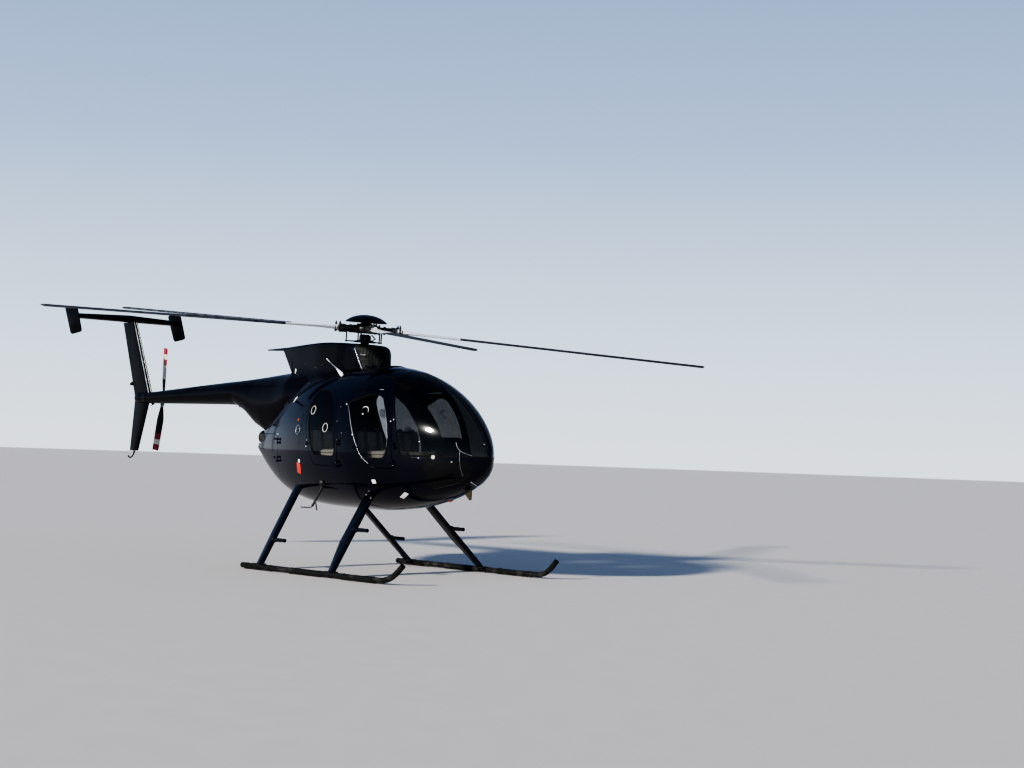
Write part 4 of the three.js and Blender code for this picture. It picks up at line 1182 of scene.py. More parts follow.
def fairing_section(x):
    top = eased(FAIRING_TOP, x)
    low = read_table(FAIRING_BOTTOM, x)
    half = max(0.006, eased(FAIRING_PLAN, x, 1, 0.08))
    front = min(1.0, max(0.0, (x + 0.05) / 0.25))
    corner = min(0.026 + 0.05 * front, half * 0.85, (top - low) * 0.4)
    points = [(half * k / 5, top + 0.004 * (1 - (k / 5) ** 2)) for k in range(5)]
    points = [(y * (half - corner) / half, z) for y, z in points]
    for k in range(8):
        angle = pi / 2 * k / 7
        points.append((half - corner + corner * sin(angle), top - corner + corner * cos(angle)))
    if x > FLARE[0][0]:
        foot, foot_z = eased(FLARE, x, 2, 0.08), eased(FLARE, x, 3, 0.08)
        hollow = 1.3 + 0.8 * min(1.0, max(0.0, (x + 0.9) / 0.5))
        knee = min(FLARE_TOP, top - corner - 0.02)
        points += [(half, top - corner + (knee - top + corner) * k / 4) for k in range(1, 4)]
        for k in range(9):
            share = k / 8
            points.append((half + (foot - half) * share**hollow, knee + (foot_z - knee) * share))
        points += [(foot * 0.85, foot_z - 0.16), (foot * 0.4, foot_z - 0.16)]
    else:
        points += [(half, top - corner + (low + 0.004 - top + corner) * k / 11) for k in range(1, 12)]
        points += [(half * 0.9, low), (half * 0.6, low), (half * 0.3, low)]
    middle = [(0, points[-1][1])]
    both = points + middle + [(-y, z) for y, z in reversed(points[1:])]
    return [Vector((x, y, z)) for y, z in both]


def plan_prism(plan, low, high):
    outline = [*plan, *((x, -y) for x, y in reversed(plan))]
    return slab(outline, low, high, 0.02, 3, plane="xy")


stations = {round(-1.84 + 0.04 * i, 4) for i in range(54)}
stations = sorted(stations | {-1.475, -1.44, -1.25, -1.232, -1.21, 0.3, 0.33, 0.35, 0.362, 0.37, 0.375})
body_loft = loft([fairing_section(x) for x in stations])
pad = cut(pod_solid(-PAD_THICK), ("INTERSECT", plan_prism(PAD_PLAN, 1.85, 2.8)))
MAST_UP = Vector((sin(MAST_TILT), 0, cos(MAST_TILT)))
well = rod(HUB - 0.52 * MAST_UP, HUB + 0.06 * MAST_UP, 0.066, steps=48)
fairings = cut(
    body_loft,
    ("UNION", pad),
    ("DIFFERENCE", POD_BODY.copy()),
    ("DIFFERENCE", loft(boom_sections(-0.001))),
    ("DIFFERENCE", well),
)
behind = slab([*SPLIT, (-3, 1.8), (-3, 2.8)], -0.5, 0.5)
ahead = slab([*((x + 0.004, z) for x, z in SPLIT), (0.9, 1.8), (0.9, 2.8)], -0.5, 0.5)
mast_cover = keep_largest(cut(fairings.copy(), ("INTERSECT", behind)))
piece("mast_cover", mast_cover, NAVY_TAIL, "mast_fairing", angle=40)
intake = keep_largest(cut(fairings, ("INTERSECT", ahead)))


def intake_face(centre, normal):
    """Wire mesh on the intake's top, sides and front, and paint on the pad round its foot."""
    rise = centre.z - on_roof(centre.x, centre.y)
    ahead = centre.x - SPLIT_TOP[0] > (SPLIT_TOP[1] - centre.z) * SPLIT_RUN / SPLIT_FALL
    return 1 if ahead and rise > PAD_THICK + 0.012 else 0


bmesh.ops.bisect_plane(intake, geom=intake.verts[:] + intake.edges[:] + intake.faces[:], dist=WELD,
                       plane_co=(SPLIT_TOP[0], 0, SPLIT_TOP[1]), plane_no=(SPLIT_FALL, 0, SPLIT_RUN))
paint_faces(intake, intake_face)
piece("intake_cover", intake, [NAVY, SCREEN], "intake_fairing", angle=40)


def fairing_side(x, z, lift=0.0):
    """A place on the starboard wall of the fairings above their flare."""
    return Vector((x, -max(0.006, eased(FAIRING_PLAN, x, 1, 0.08)) - lift, z))


# A bright bar along the split between the two fairings, a painted highlight where the rear fairing's front
# flange catches the light, with a fastener at each end, on both sides
split_highlight_line = []
for k in range(9):
    x, z = SPLIT_TOP[0] + SPLIT_RUN * k / 8, SPLIT_TOP[1] - SPLIT_FALL * k / 8
    split_highlight_line.append(fairing_side(x, z, 0.002))
latches = [moved(button(0.013, 0.007), shift(place) @ SIDEWAYS) for place in (split_highlight_line[0], split_highlight_line[-1])]
split_highlight_bar = gather(sweep(split_highlight_line, 0.0045, 12), *latches)
for side_name, side in SIDES.items():
    # The bright bar is a painted highlight of the flange's edge.
    piece(f"split_highlight_bar_{side_name}", mirrored(split_highlight_bar, -side), BRIGHT)
split_highlight_bar.free()


# Thin wing sections
def foil(front, back, thick, place, points=28):
    """A wing section between two chordwise places; place() turns (along, up) into a point."""
    section = []
    for j in range(points):
        angle = TAU * j / points
        share = (1 - cos(angle)) / 2
        bulge = thick * sin(angle) * (1 - 0.75 * share) * 0.75
        section.append(Vector(place(front + (back - front) * share, bulge)))
    return section


# Tail gearbox, fins and tailplane
FIN_TOP = metres([(-4310, -4737, 46, 2000), (-4755, -5086, 36, 3011)])
FIN_LOW = metres([(-4375, -4732, 46, 1970), (-4610, -4810, 30, 1270)])
HIGHLIGHT_SHARE = (0.105, 0.15)  # the share of the chord painted bright, a painted highlight of the sun just behind the rounded leading edge
GEARBOX_FRONT, GEARBOX_Z = -4.4005, 1.985
GEARBOX_PROFILE = [
    # (radius, distance behind the front face)
    (0, 0), (0.071, 0), (0.0745, 0.008), (0.0745, 0.028), (0.0715, 0.036), (0.0735, 0.13), (0.067, 0.238),
    (0.055, 0.27), (0.038, 0.29), (0.02, 0.2945), (0, 0.2945),
]


def gear_solid(grown=0.0):
    profile = [(r + grown if r else 0, z + (grown if z else -grown)) for r, z in GEARBOX_PROFILE]
    return turned(profile, 40, (GEARBOX_FRONT, 0, GEARBOX_Z), (-1, 0, 0))


def fin_skin(chords, painted_highlight):
    sections = []
    for k in range(9):
        share = k / 8
        front, back, thick, z = [a + (b - a) * share for a, b in zip(*chords)]
        sections.append(foil(front, back, thick, lambda x, y, z=z: (x, y, z), 56))
    holes = [("DIFFERENCE", gear_solid(0.0005)), ("DIFFERENCE", loft(boom_sections(-0.0005, 1)))]
    bm = keep_largest(cut(loft(sections), *holes))

    # Faces in that share of the chord on the upper fin, above the boom, are painted bright: a painted
    # highlight of the sun along the leading edge.
    def highlight_face(centre, normal):
        share = (centre.z - chords[0][3]) / (chords[1][3] - chords[0][3])
        front, back = (chords[0][i] + (chords[1][i] - chords[0][i]) * share for i in (0, 1))
        reach = (front - centre.x) / (front - back)
        return 1 if painted_highlight and HIGHLIGHT_SHARE[0] < reach < HIGHLIGHT_SHARE[1] and centre.z > 2.07 else 0

    return paint_faces(bm, highlight_face)


# The upper fin gets the painted highlight along its leading edge; the lower fin does not.
piece("fin_upper_skin", fin_skin(FIN_TOP, True), [NAVY_TAIL, BRIGHT_TRIM_AND_HIGHLIGHT], "fin_upper", angle=60)
piece("fin_lower_skin", fin_skin(FIN_LOW, False), [NAVY_TAIL, BRIGHT_TRIM_AND_HIGHLIGHT], "fin_lower", angle=60)

PLANE_FRONT, PLANE_BACK, PLANE_THICK, PLANE_Z, PLANE_HALF = -4.875, -5.165, 0.066, 3.048, 0.822


def plane_rise(y):
    """The tailplane is thicker towards its middle, where it sits on the fin."""
    return 0.014 * (1 - abs(y) / PLANE_HALF)


def plane_section(y):
    rise = plane_rise(y)
    return foil(PLANE_FRONT, PLANE_BACK, PLANE_THICK + 2 * rise, lambda x, z: (x, y, PLANE_Z + rise + z))


plane = loft([plane_section(-PLANE_HALF + PLANE_HALF * 2 * k / 12) for k in range(13)])
piece("tailplane_skin", plane, NAVY_TAIL, "tailplane", angle=60)
END_PLATE = metres([(-5240, 3171), (-4942, 3177), (-4800, 2834), (-5062, 2797)])
for side_name, side in SIDES.items():
    end_plate = slab(END_PLATE, *side_span(side, PLANE_HALF + 0.0005, PLANE_HALF + 0.0145), 0.04, 6, 0.003)
    piece(f"end_plate_skin_{side_name}", end_plate, NAVY_TAIL, f"end_plate_{side_name}", angle=40)

shaft = turned([
    (0, 0), (0.052, 0), (0.0505, 0.08), (0.056, 0.09), (0.056, 0.104), (0.047, 0.112), (0.042, 0.19),
    (0.026, 0.196), (0.026, 0.359), (0, 0.359),
], 36, (TAIL_HUB.x, 0, TAIL_HUB.z), (0, 1, 0))
piece("tail_gear_case", gather(gear_solid(), shaft), NAVY_TAIL, "tail_gearbox", angle=40)
hook = metres([(-4700, 0, 1262), (-4722, 0, 1215), (-4765, 0, 1180), (-4815, 0, 1178), (-4840, 0, 1200)])
stub = rod((-4.7, 0, 1.269), (-4.7, 0, 1.24), 0.014, 0.012, edge=0.002)
bumper = gather(sweep(smooth_line(hook, 6), 0.009, 14), stub)
piece("tail_bumper_hook", bumper, BLACK, "tail_bumper", angle=50)

bracket = metres([(-4790, 2150), (-4770, 2210), (-4835, 2196), (-4862, 2170), (-4850, 2152)])
bracket = gather(
    slab(bracket, -0.008, 0.008, 0.006, 3, 0.002),
    rod((-4.845, 0, 2.168), (-4.845, 0, 2.19), 0.016, 0.013, 20, 0.002),
)
piece("tail_lamp_bracket", bracket, BLACK, angle=40)
lens = [(0, 0), (0.0135, 0), (0.0135, 0.012), (0.011, 0.024), (0.006, 0.031), (0, 0.033)]
piece("tail_lamp", turned(lens, 24, (-4.845, 0, 2.19)), WHITE, angle=50)
nub = [(0, 0), (0.012, 0.001), (0.02, 0.008), (0.024, 0.024), (0.024, 0.05), (0, 0.05)]
piece("boom_nub", turned(nub, 24, (-2.376, 0, 1.878)), NAVY_TAIL, angle=50)
clip = gather(turned(nub, 20, (-4.306, 0, 1.893)), rod((-4.306, 0, 1.9), (-4.34, 0, 1.88), 0.005, None, 10))
piece("boom_fitting", clip, NAVY_TAIL, angle=50)
lamp_glass = turned([(0, 0), (0.011, 0), (0.011, 0.03), (0.006, 0.042), (0, 0.044)], 20)
foot_lamp = gather(lamp_glass, rod((0, 0, -0.02), (0, 0, 0.004), 0.014))
piece("fairing_foot_lamp", moved(foot_lamp, shift((-1.128, -0.118, 2.32))), WHITE, angle=50)
fairing_dots = [
    moved(button(0.008, 0.004), shift(fairing_side(x, z)) @ SIDEWAYS)
    for x, z in ((-0.512, 2.401), (-0.66, 2.37), (-0.62, 2.36), (-0.9, 2.42))
]
piece("fairing_fasteners", gather(*fairing_dots), STEEL)
piece("leg_root_fitting", moved(button(0.011, 0.012), shift((0.553, -0.344, 0.793)) @ SIDEWAYS), STEEL)
handle = [(0.193, -0.2355, 2.517), (0.222, -0.232, 2.508), (0.25, -0.227, 2.506), (0.267, -0.222, 2.51)]
piece("intake_handle", sweep(smooth_line(handle, 5), 0.004, 10), BRIGHT_TRIM_AND_HIGHLIGHT, angle=60)

# Landing gear
SKID_Y, SKID_RADIUS, SKID_REAR, SKID_BEND, SHOE = 1.198, 0.031, -0.64, 1.8, 0.008
SKID_TIP = (2.104, 1.174, 0.215)
SKID_TOP = SHOE + 2 * SKID_RADIUS
SKID_CENTRE = SHOE + SKID_RADIUS
LEGS = {
    # reach: how far the leg goes ahead of its line and behind it, at the top, the middle and the foot
    "front": {
        "top": Vector((0.681, 0.479, 0.8)), "foot": Vector((0.899, 1.137, SKID_TOP + 0.002)),
        "peg": Vector((1.014, 0.739, 0.519)), "reach": [(0.06, 0.108), (0.058, 0.118), (0.054, 0.05)],
    },
    "rear": {
        "top": Vector((-0.665, 0.401, 0.905)), "foot": Vector((-0.376, 1.134, SKID_TOP + 0.002)),
        "peg": Vector((-0.217, 0.915, 0.335)), "reach": [(0.06, 0.082), (0.058, 0.079), (0.054, 0.064)],
    },
}
LEG_THICK, LEG_MIDDLE, PEG_RADIUS = 0.044, 0.55, 0.0215


def leg_skin(leg):
    top, foot = leg["top"], leg["foot"]
    along = (foot - top).normalized()
    chordwise = (Vector((1, 0, 0)) - along * along.x).normalized()
    across = along.cross(chordwise)
    corners = [top - along * 0.13, top.lerp(foot, LEG_MIDDLE), foot + along * 0.06]
    sections = []
    for part in range(2):
        for k in range(6 if part else 5):
            share = k / 5
            ahead, behind = (a + (b - a) * share for a, b in zip(leg["reach"][part], leg["reach"][part + 1]))
            centre = corners[part].lerp(corners[part + 1], share)
            sections.append(foil(ahead, -behind, LEG_THICK,
                                 lambda a, o: centre + chordwise * a + across * o))
    above_foot = box((-BIG, -BIG, foot.z), (BIG, BIG, BIG))
    wing = keep_largest(cut(loft(sections), ("INTERSECT", above_foot), ("DIFFERENCE", POD_BODY.copy())))
    share = (top.z - leg["peg"].z) / (top.z - foot.z)
    root = top.lerp(foot, share)
    root.z = leg["peg"].z
    step = rod(root, leg["peg"], PEG_RADIUS, steps=24)
    way = (leg["peg"] - root).normalized()
    grips = [
        rod(root + way * along, root + way * (along + 0.009), PEG_RADIUS + 0.0012, edge=0.001)
        for along in (0.075 + 0.018 * i for i in range(6))
    ]
    cap = rod(leg["peg"] - way * 0.012, leg["peg"], PEG_RADIUS + 0.001, edge=0.004)
    clamp = turned([(0.012, 0), (0.03, 0), (0.033, 0.004), (0.033, 0.022), (0.027, 0.028), (0.012, 0.028)],
                   28, root + way * 0.03, way)
    return gather(wing, step, cap, clamp, *grips)


for place, leg in LEGS.items():
    skin = leg_skin(leg)
    for side_name, side in SIDES.items():
        piece(f"leg_fairing_{place}_{side_name}", mirrored(skin, side), LEG_PAINT,
              f"leg_{place}_{side_name}", angle=50)
    skin.free()


def band_round_skid(x, half, proud):
    inner, outer = SKID_RADIUS - 0.0005, SKID_RADIUS + proud
    profile = [(inner, -half), (outer, -half), (outer, half), (inner, half), (inner, -half)]
    return turned(profile, 28, (x, SKID_Y, SKID_CENTRE), (1, 0, 0))


def skid_skin():
    line = [(x, SKID_Y, SKID_CENTRE) for x in (SKID_REAR + 0.03, 0.0, 0.6, SKID_BEND - 0.12)]
    line += [(SKID_BEND + 0.06, SKID_Y - 0.003, SKID_CENTRE + 0.012)]
    line += [(SKID_BEND + 0.18, SKID_Y - 0.012, SKID_CENTRE + 0.065), SKID_TIP]
    tube = sweep(smooth_line(line, 8), SKID_RADIUS, 28)
    cap_rings = [(0, 0), (-0.008, 0.002), (-0.001, 0.012), (0.0006, 0.03), (0.0006, 0.07), (0, 0.07)]
    rear_cap = turned([(SKID_RADIUS + r if 0 < i < 5 else 0, z) for i, (r, z) in enumerate(cap_rings)], 28,
                      (SKID_REAR, SKID_Y, SKID_CENTRE), (1, 0, 0))
    parts = [rear_cap]
    for x0, x1 in ((-0.56, -0.06), (0.25, 0.8), (1.15, 1.7)):
        parts.append(box((x0, SKID_Y - 0.02, 0), (x1, SKID_Y + 0.02, SHOE + 0.006), 0.003))
        for x in (x0 + 0.03, x1 - 0.03):
            parts.append(band_round_skid(x, 0.008, 0.003))
    for leg in LEGS.values():
        x, y, z = leg["foot"]
        top = z - 0.0005
        parts.append(box((x - 0.075, SKID_Y - 0.03, SKID_CENTRE), (x + 0.075, SKID_Y + 0.03, top), 0.006))
        parts.append(box((x - 0.07, y - 0.036, z - 0.022), (x + 0.07, SKID_Y, top), 0.004))
        parts += [band_round_skid(x + dx, 0.009, 0.0038) for dx in (-0.055, 0.055)]
    return gather(tube, *parts)


skid = skid_skin()
for side_name, side in SIDES.items():
    piece(f"skid_tube_{side_name}", mirrored(skid, side), SKID_PAINT, f"skid_{side_name}", angle=45)
skid.free()


# Main rotor
def heading(number):
    return BLADE_PHASE + TAU / BLADES * number


def for_each_blade(bm):
    """Copies of a part round the mast, one for each blade."""
    copies = [copied(bm, spin(heading(number))) for number in range(BLADES)]
    bm.free()
    return copies


def blade_matrix(number):
    flap = radians(BLADE_DROOP + DISC_LEAN * cos(heading(number)))
    hinge = shift((FLAP_AT, 0, 0)) @ spin(flap, "Y") @ shift((-FLAP_AT, 0, 0))
    return MAST_FRAME @ spin(heading(number)) @ hinge


def twisted_foil(chord, ahead, thick, twist, put, points):
    """A wing section turned by its twist, with a share of its chord ahead of the line it turns about."""
    turn = radians(twist)
    across, up = cos(turn), sin(turn)
    return foil(chord * ahead, -chord * (1 - ahead), thick,
                lambda a, u: put(a * across - u * up, a * up + u * across), points)


def blade_skin():
    stations = metres([
        (430, 90, 44, 4000), (440, 92, 43, 4000), (500, 98, 40, 4000), (560, 108, 34, 4000),
        (620, 132, 30, 4000), (690, 166, 26, 4000), (720, 171, 26, 3900), (1100, 171, 26, 3100),
        (1120, 171, 26, 3060), (1700, 171, 26, 2000), (2300, 171, 26, 1000), (2900, 171, 26, -200),
        (3500, 171, 26, -1700), (3960, 171, 26, -2850), (4010, 171, 26, -2980), (4020, 165, 20, -3000),
    ])

    def section(r, chord, thick, twist):
        return twisted_foil(chord, BLADE_AHEAD, thick, twist, lambda y, z: (r, y, z), 32)

    bm = loft([section(*station) for station in stations])

    def band(centre, normal):
        if centre.x < 0.445:
            return 2
        if centre.x < 1.12:
            return 1
        return 3 if centre.y > BLADE_CHORD * BLADE_AHEAD - 0.012 else 0

    return paint_faces(bm, band)


blade = blade_skin()
for number in range(BLADES):
    piece(f"main_blade_skin_{number + 1}", blade.copy(), [BLADE_GREY, BLADE_WHITE, DARK_STEEL, STEEL],
          f"main_blade_{number + 1}", body="main_rotor", matrix=blade_matrix(number), angle=60)
blade.free()

dome_profile = [(0, 0.0745), (0.06, 0.0745), (0.062, 0.084), (0.236, 0.0745), (0.2445, 0.0765),
                (0.2475, 0.0815)]
dome_top = [dome_profile[-1], (0.243, 0.087), (0.225, 0.104), (0.165, 0.138), (0.085, 0.162), (0.0, 0.17)]
dome_profile += side_curve(dome_top, 5)[1:-1] + [(0, 0.17)]
dome = turned(dome_profile, 72)
dome_nut = turned([(0, 0.168), (0.007, 0.168), (0.007, 0.1695), (0.005, 0.17), (0, 0.17)], 6)
piece("rotor_cap", gather(dome, dome_nut), BLACK, "rotor_dome", body="main_rotor", matrix=MAST_FRAME,
      angle=40)

# Hub core, with an arm, a damper and a grip for each blade
LINK_X, LINK_Y, LINK_LOW, LINK_TOP = 0.194, -0.107, -0.15, -0.035
PIN = [(0, -0.051), (0.012, -0.051), (0.016, -0.046), (0.016, 0.038), (0.012, 0.046), (0, 0.046)]
ROOT_PIN = metres([(0, -52), (10, -52), (13.5, -47), (13.5, 46), (10, 56), (6, 72), (0, 72)])


def hub_arm():
    """Two forked plates on the hub, the blade's root fitting and pins, the damper and the pitch horn."""
    fork = metres([(60, -50), (190, -50), (240, -40), (330, -48), (362, -34), (362, 34), (330, 48),
                   (240, 40), (190, 50), (60, 50)])
    plates = [slab(fork, low, low + 0.016, 0.008, 3, 0.002, "xy") for low in (0.018, -0.042)]
    core = [
        box((0.07, -0.034, -0.0265), (0.318, 0.034, 0.0185), 0.003),
        rod((0.3, 0, -0.003), (0.345, 0, -0.003), 0.0475, 0.045, 24, 0.002),
        turned([(0.03, 0), (0.0485, 0), (0.0485, 0.014), (0.03, 0.014), (0.03, 0)], 24, (0.35, 0, -0.002),
               (1, 0, 0)),
    ]
    pins = [turned(PIN, 16, (x, y, 0)) for x, y in ((0.15, 0.026), (0.15, -0.026), (0.22, 0.0))]
    root_pins = [turned(ROOT_PIN, 16, (x, y, 0)) for x, y in ((0.375, 0.019), (0.405, -0.019))]
    grip = rod((0.345, 0, -0.003), (BLADE_ROOT - 0.003, 0, -0.001), 0.031, 0.027, 24, 0.002)
    horn = slab(metres([(172, -22), (217, -22), (213, -121), (175, -121)]), LINK_TOP + 0.0005, -0.014, 0.01,
                3, 0.002, "xy")
    damper = [
        rod((0.255, 0.06, -0.008), (0.39, 0.058, -0.014), 0.0195, None, 20, 0.003),
        rod((0.38, 0.0585, -0.014), (BLADE_ROOT - 0.004, 0.058, -0.016), 0.0125, None, 16, 0.002),
        turned([(0, -0.034), (0.015, -0.034), (0.015, 0.014), (0.009, 0.02), (0, 0.02)], 16,
               (BLADE_ROOT - 0.016, 0.058, 0.0)),
    ]
    dark = gather(*plates, *core, *pins, *root_pins, horn, *damper)
    return gather(paint_faces(dark, lambda centre, normal: 2), paint_faces(grip, lambda centre, normal: 1))


core = turned([
    (0, -0.052), (0.1, -0.052), (0.128, -0.046), (0.135, -0.03), (0.14, 0), (0.134, 0.024), (0.12, 0.044),
    (0.07, 0.058), (0.066, 0.07), (0.03, 0.074), (0, 0.074),
], 48)
bolt = [(0, 0.03), (0.008, 0.03), (0.008, 0.058), (0.005, 0.062), (0, 0.062)]
angles = [TAU * i / 10 + 0.3 for i in range(10)]
hub_bolts = [turned(bolt, 6, (0.1 * cos(angle), 0.1 * sin(angle), 0)) for angle in angles]
head = gather(core, *for_each_blade(hub_arm()), *hub_bolts)
piece("rotor_hub", head, [DARK_STEEL, BLADE_WHITE, HUB_PAINT], "rotor_head", body="main_rotor",
      matrix=MAST_FRAME)


def pitch_link():
    """A link rod between two ball ends, with its jam nuts."""
    ball = [(0, -0.013), (0.007, -0.012), (0.012, -0.006), (0.0135, 0), (0.012, 0.006), (0.007, 0.012),
            (0, 0.013)]
    parts = [
        rod((LINK_X, LINK_Y, LINK_LOW + 0.01), (LINK_X, LINK_Y, LINK_TOP - 0.008), 0.0065, None, 14),
        rod((LINK_X, LINK_Y, LINK_LOW + 0.03), (LINK_X, LINK_Y, LINK_TOP - 0.03), 0.0082, None, 14, 0.002),
        turned(ball, 18, (LINK_X, LINK_Y, LINK_LOW)),
        rod((LINK_X, LINK_Y, LINK_TOP - 0.014), (LINK_X, LINK_Y, LINK_TOP), 0.0082, None, 14, 0.001),
    ]
    for z in (LINK_LOW + 0.024, LINK_TOP - 0.026):
        parts.append(turned([(0, 0), (0.011, 0), (0.011, 0.006), (0, 0.006)], 6, (LINK_X, LINK_Y, z)))
    horn = rod((LINK_X * 0.45, LINK_Y * 0.45, LINK_LOW), (LINK_X + 0.004, LINK_Y - 0.002, LINK_LOW), 0.010,
               0.006, 14, 0.002)
    return gather(*parts, horn)


# The rotating star: a flat plate with a tall sleeve round the mast
star = turned([
    (0.06, -0.162), (0.12, -0.162), (0.128, -0.157), (0.128, -0.143), (0.12, -0.138), (0.1, -0.138),
    (0.096, -0.134), (0.078, -0.134), (0.07, -0.128), (0.07, -0.09), (0.067, -0.086), (0.067, -0.074),
    (0.064, -0.07), (0.06, -0.07), (0.06, -0.162),
], 48)
scissors = []
for across in (-0.012, 0.012):
    for low, high in (((0.07, -0.14), (0.118, -0.108)), ((0.118, -0.108), (0.075, -0.064))):
        scissors.append(rod((low[0], across, low[1]), (high[0], across, high[1]), 0.0075, None, 14, 0.002))
scissors.append(rod((0.118, -0.024, -0.108), (0.118, 0.024, -0.108), 0.009, None, 16, 0.002))
scissors = moved(gather(*scissors), spin(radians(44.8)))
piece("rotor_scissors", scissors, STEEL, body="main_rotor", matrix=MAST_FRAME)
piece("pitch_links", gather(star, *for_each_blade(pitch_link())), DARK_STEEL, "swashplate",
      body="main_rotor", matrix=MAST_FRAME)

mast_profile = [
    (0, -0.45), (0.05, -0.45), (0.05, -0.24), (0.048, -0.235), (0.048, -0.2), (0.05, -0.195), (0.05, -0.07),
    (0.046, -0.062), (0, -0.062),
]
mast = keep_largest(cut(moved(turned(mast_profile), MAST_FRAME), ("DIFFERENCE", POD_BODY.copy())))
piece("mast_tube", mast, DARK_STEEL, "mast", angle=40)


# Tail rotor
def tail_blade_skin():
    stations = metres([
        (95, 50, 32, -12000), (112, 52, 30, -12000), (170, 80, 22, -12000), (225, 106, 18, -12000),
        (280, 122, 16, -12000), (376, 122, 16, -11500), (464, 122, 16, -11100), (468, 122, 16, -11100),
        (549, 122, 16, -10700), (553, 122, 16, -10700), (620, 122, 16, -10400), (624, 122, 16, -10400),
        (690, 120, 15, -10000), (702, 112, 10, -10000),
    ])

    def section(z, chord, thick, twist):
        return twisted_foil(chord, 0.4, thick, twist, lambda x, y: (x, y, z), 24)

    bm = loft([section(*station) for station in stations])
    lift = shift((0, 0, 0.06))
    return moved(bm, lift @ spin(TAIL_CONE, "X") @ lift.inverted())


def tail_bands(dark):
    """Red and cream bands towards the tip; one blade has a cream middle, and the other's middle is painted
    dark as painted shade, that blade being seen in shade.
    """

    def band(centre, normal):
        z = abs(centre.z)
        if z > 0.62 or 0.465 < z < 0.55:
            return 1
        # Where dark is set, the middle keeps the dark grey finish: painted shade.
        return 2 if z > 0.54 or (0.27 < z < 0.47 and not dark) else 0

    return band


tail_blade = tail_blade_skin()
# The second blade gets a dark middle in place of cream: painted shade of the blade seen in shade.
for number, (turn, dark) in enumerate(((0.0, False), (pi, True)), start=1):
    skin = paint_faces(copied(tail_blade, spin(turn, "Y")), tail_bands(dark))
    piece(f"tail_blade_skin_{number}", skin, [BLADE_GREY, BAND_RED, BAND_CREAM], f"tail_blade_{number}",
          body="tail_rotor", matrix=TAIL_FRAME, angle=60)
tail_blade.free()
tail_hub = gather(
    turned([(0, -0.04), (0.036, -0.04), (0.04, -0.034), (0.038, 0.02), (0.034, 0.04), (0.022, 0.045),
            (0, 0.045)], 32, (0, 0, 0), (0, 1, 0)),
    turned([(0, -0.091), (0.024, -0.091), (0.026, -0.088), (0.026, 0.088), (0.024, 0.091), (0, 0.091)], 28),
    *[rod((-0.031, 0.0, z), (0.031, 0.0, z), 0.008, None, 14, 0.001) for z in (-0.07, 0.07)],
)
piece("tail_rotor_head", tail_hub, STEEL, "tail_rotor_hub", body="tail_rotor",
      matrix=TAIL_FRAME)

# Aerials
WHIP = metres([(-12, -299, 2250), (-60, -299.9, 2285), (-110, -301, 2322), (-150, -302, 2353),
               (-200, -302.6, 2381), (-265, -304, 2421), (-330, -305, 2464)])
whip_radii = [0.0375 - 0.0275 * min(1, k / 14) ** 0.8 - 0.0055 * k / 30 for k in range(31)]
whip = sweep(smooth_line(WHIP, 5), whip_radii, 24)
piece("whip_rod", keep_largest(cut(whip, ("DIFFERENCE", POD_BODY.copy()))), WHITE, "whip_aerial", angle=50)
arm = metres([(-20, -505, 1040), (-108, -526.5, 887.5), (-196, -548, 735)])
bent_wire = metres([(-186, -547, 756), (-205, -548, 727), (-240, -548, 716), (-325, -548, 714),
                    (-410, -548, 712)])
bent = gather(
    sweep(smooth_line(arm, 6), [0.0198 - 0.0068 * k / 12 for k in range(13)], 16),
    sweep(smooth_line(bent_wire, 6), 0.0068, 12),
    rod((-0.148, -0.547, 0.806), (-0.112, -0.547, 0.69), 0.0088, 0.0075, 14, 0.002),
    turned([(0, -0.012), (0.013, -0.012), (0.016, -0.008), (0.016, 0.008), (0.013, 0.012), (0, 0.012)], 16,
           (-0.19, -0.547, 0.746), (-0.5, -0.05, -0.86)),
)
boot = turned([(0, 0.001), (0.042, 0.001), (0.042, 0.004), (0.03, 0.012), (0.024, 0.03), (0, 0.03)], 32)
boot = on_skin(boot, -0.035, 1.01, -1)
piece("belly_rod", gather(bent, boot), STEEL_PAINT, "belly_aerial", angle=50)
lamp_ring = turned([(0.037, 0.02), (0.044, 0.02), (0.045, 0.03), (0.045, 0.06), (0.037, 0.06),
                    (0.037, 0.02)], 40, (1.546, 0, 0.862))
piece("belly_lamp_ring", lamp_ring, STEEL, angle=40)


# Cabin inside
FLOOR_Z = 1.0105
SEATS = {
    # the shell's outline from the floor up, the base pad's middle and depth, the lower and the upper end of
    # the back's front edge, and the seat's inner and outer side
    "front": {
        "shell": metres([
            (382, 2), (944, 2), (968, 262), (545, 246), (452, 300), (428, 628), (404, 628), (388, 300),
        ]),
        "base": (0.76, 0.405), "back": ((0.522, 0.335), (0.482, 0.637)), "y": (0.064, 0.496),
    },
    "rear": {
        "shell": metres([
            (-418, 2), (122, 2), (148, 262), (-262, 246), (-358, 300), (-388, 628), (-412, 628), (-414, 300),
        ]),
        "base": (-0.045, 0.385), "back": ((-0.293, 0.335), (-0.333, 0.637)), "y": (0.016, 0.496),
    },
}
PAD_WIDE, PAD_DEEP, PAD_THICKNESS, BACK_TALL, BACK_THICKNESS = 0.42, 0.40, 0.135, 0.30, 0.06
PAD_SEAM, PAD_CORNER, PAD_VOXEL = 0.024, 0.045, 0.0095
CLOTH_PRESSURE, CLOTH_FRAMES = 4, 20


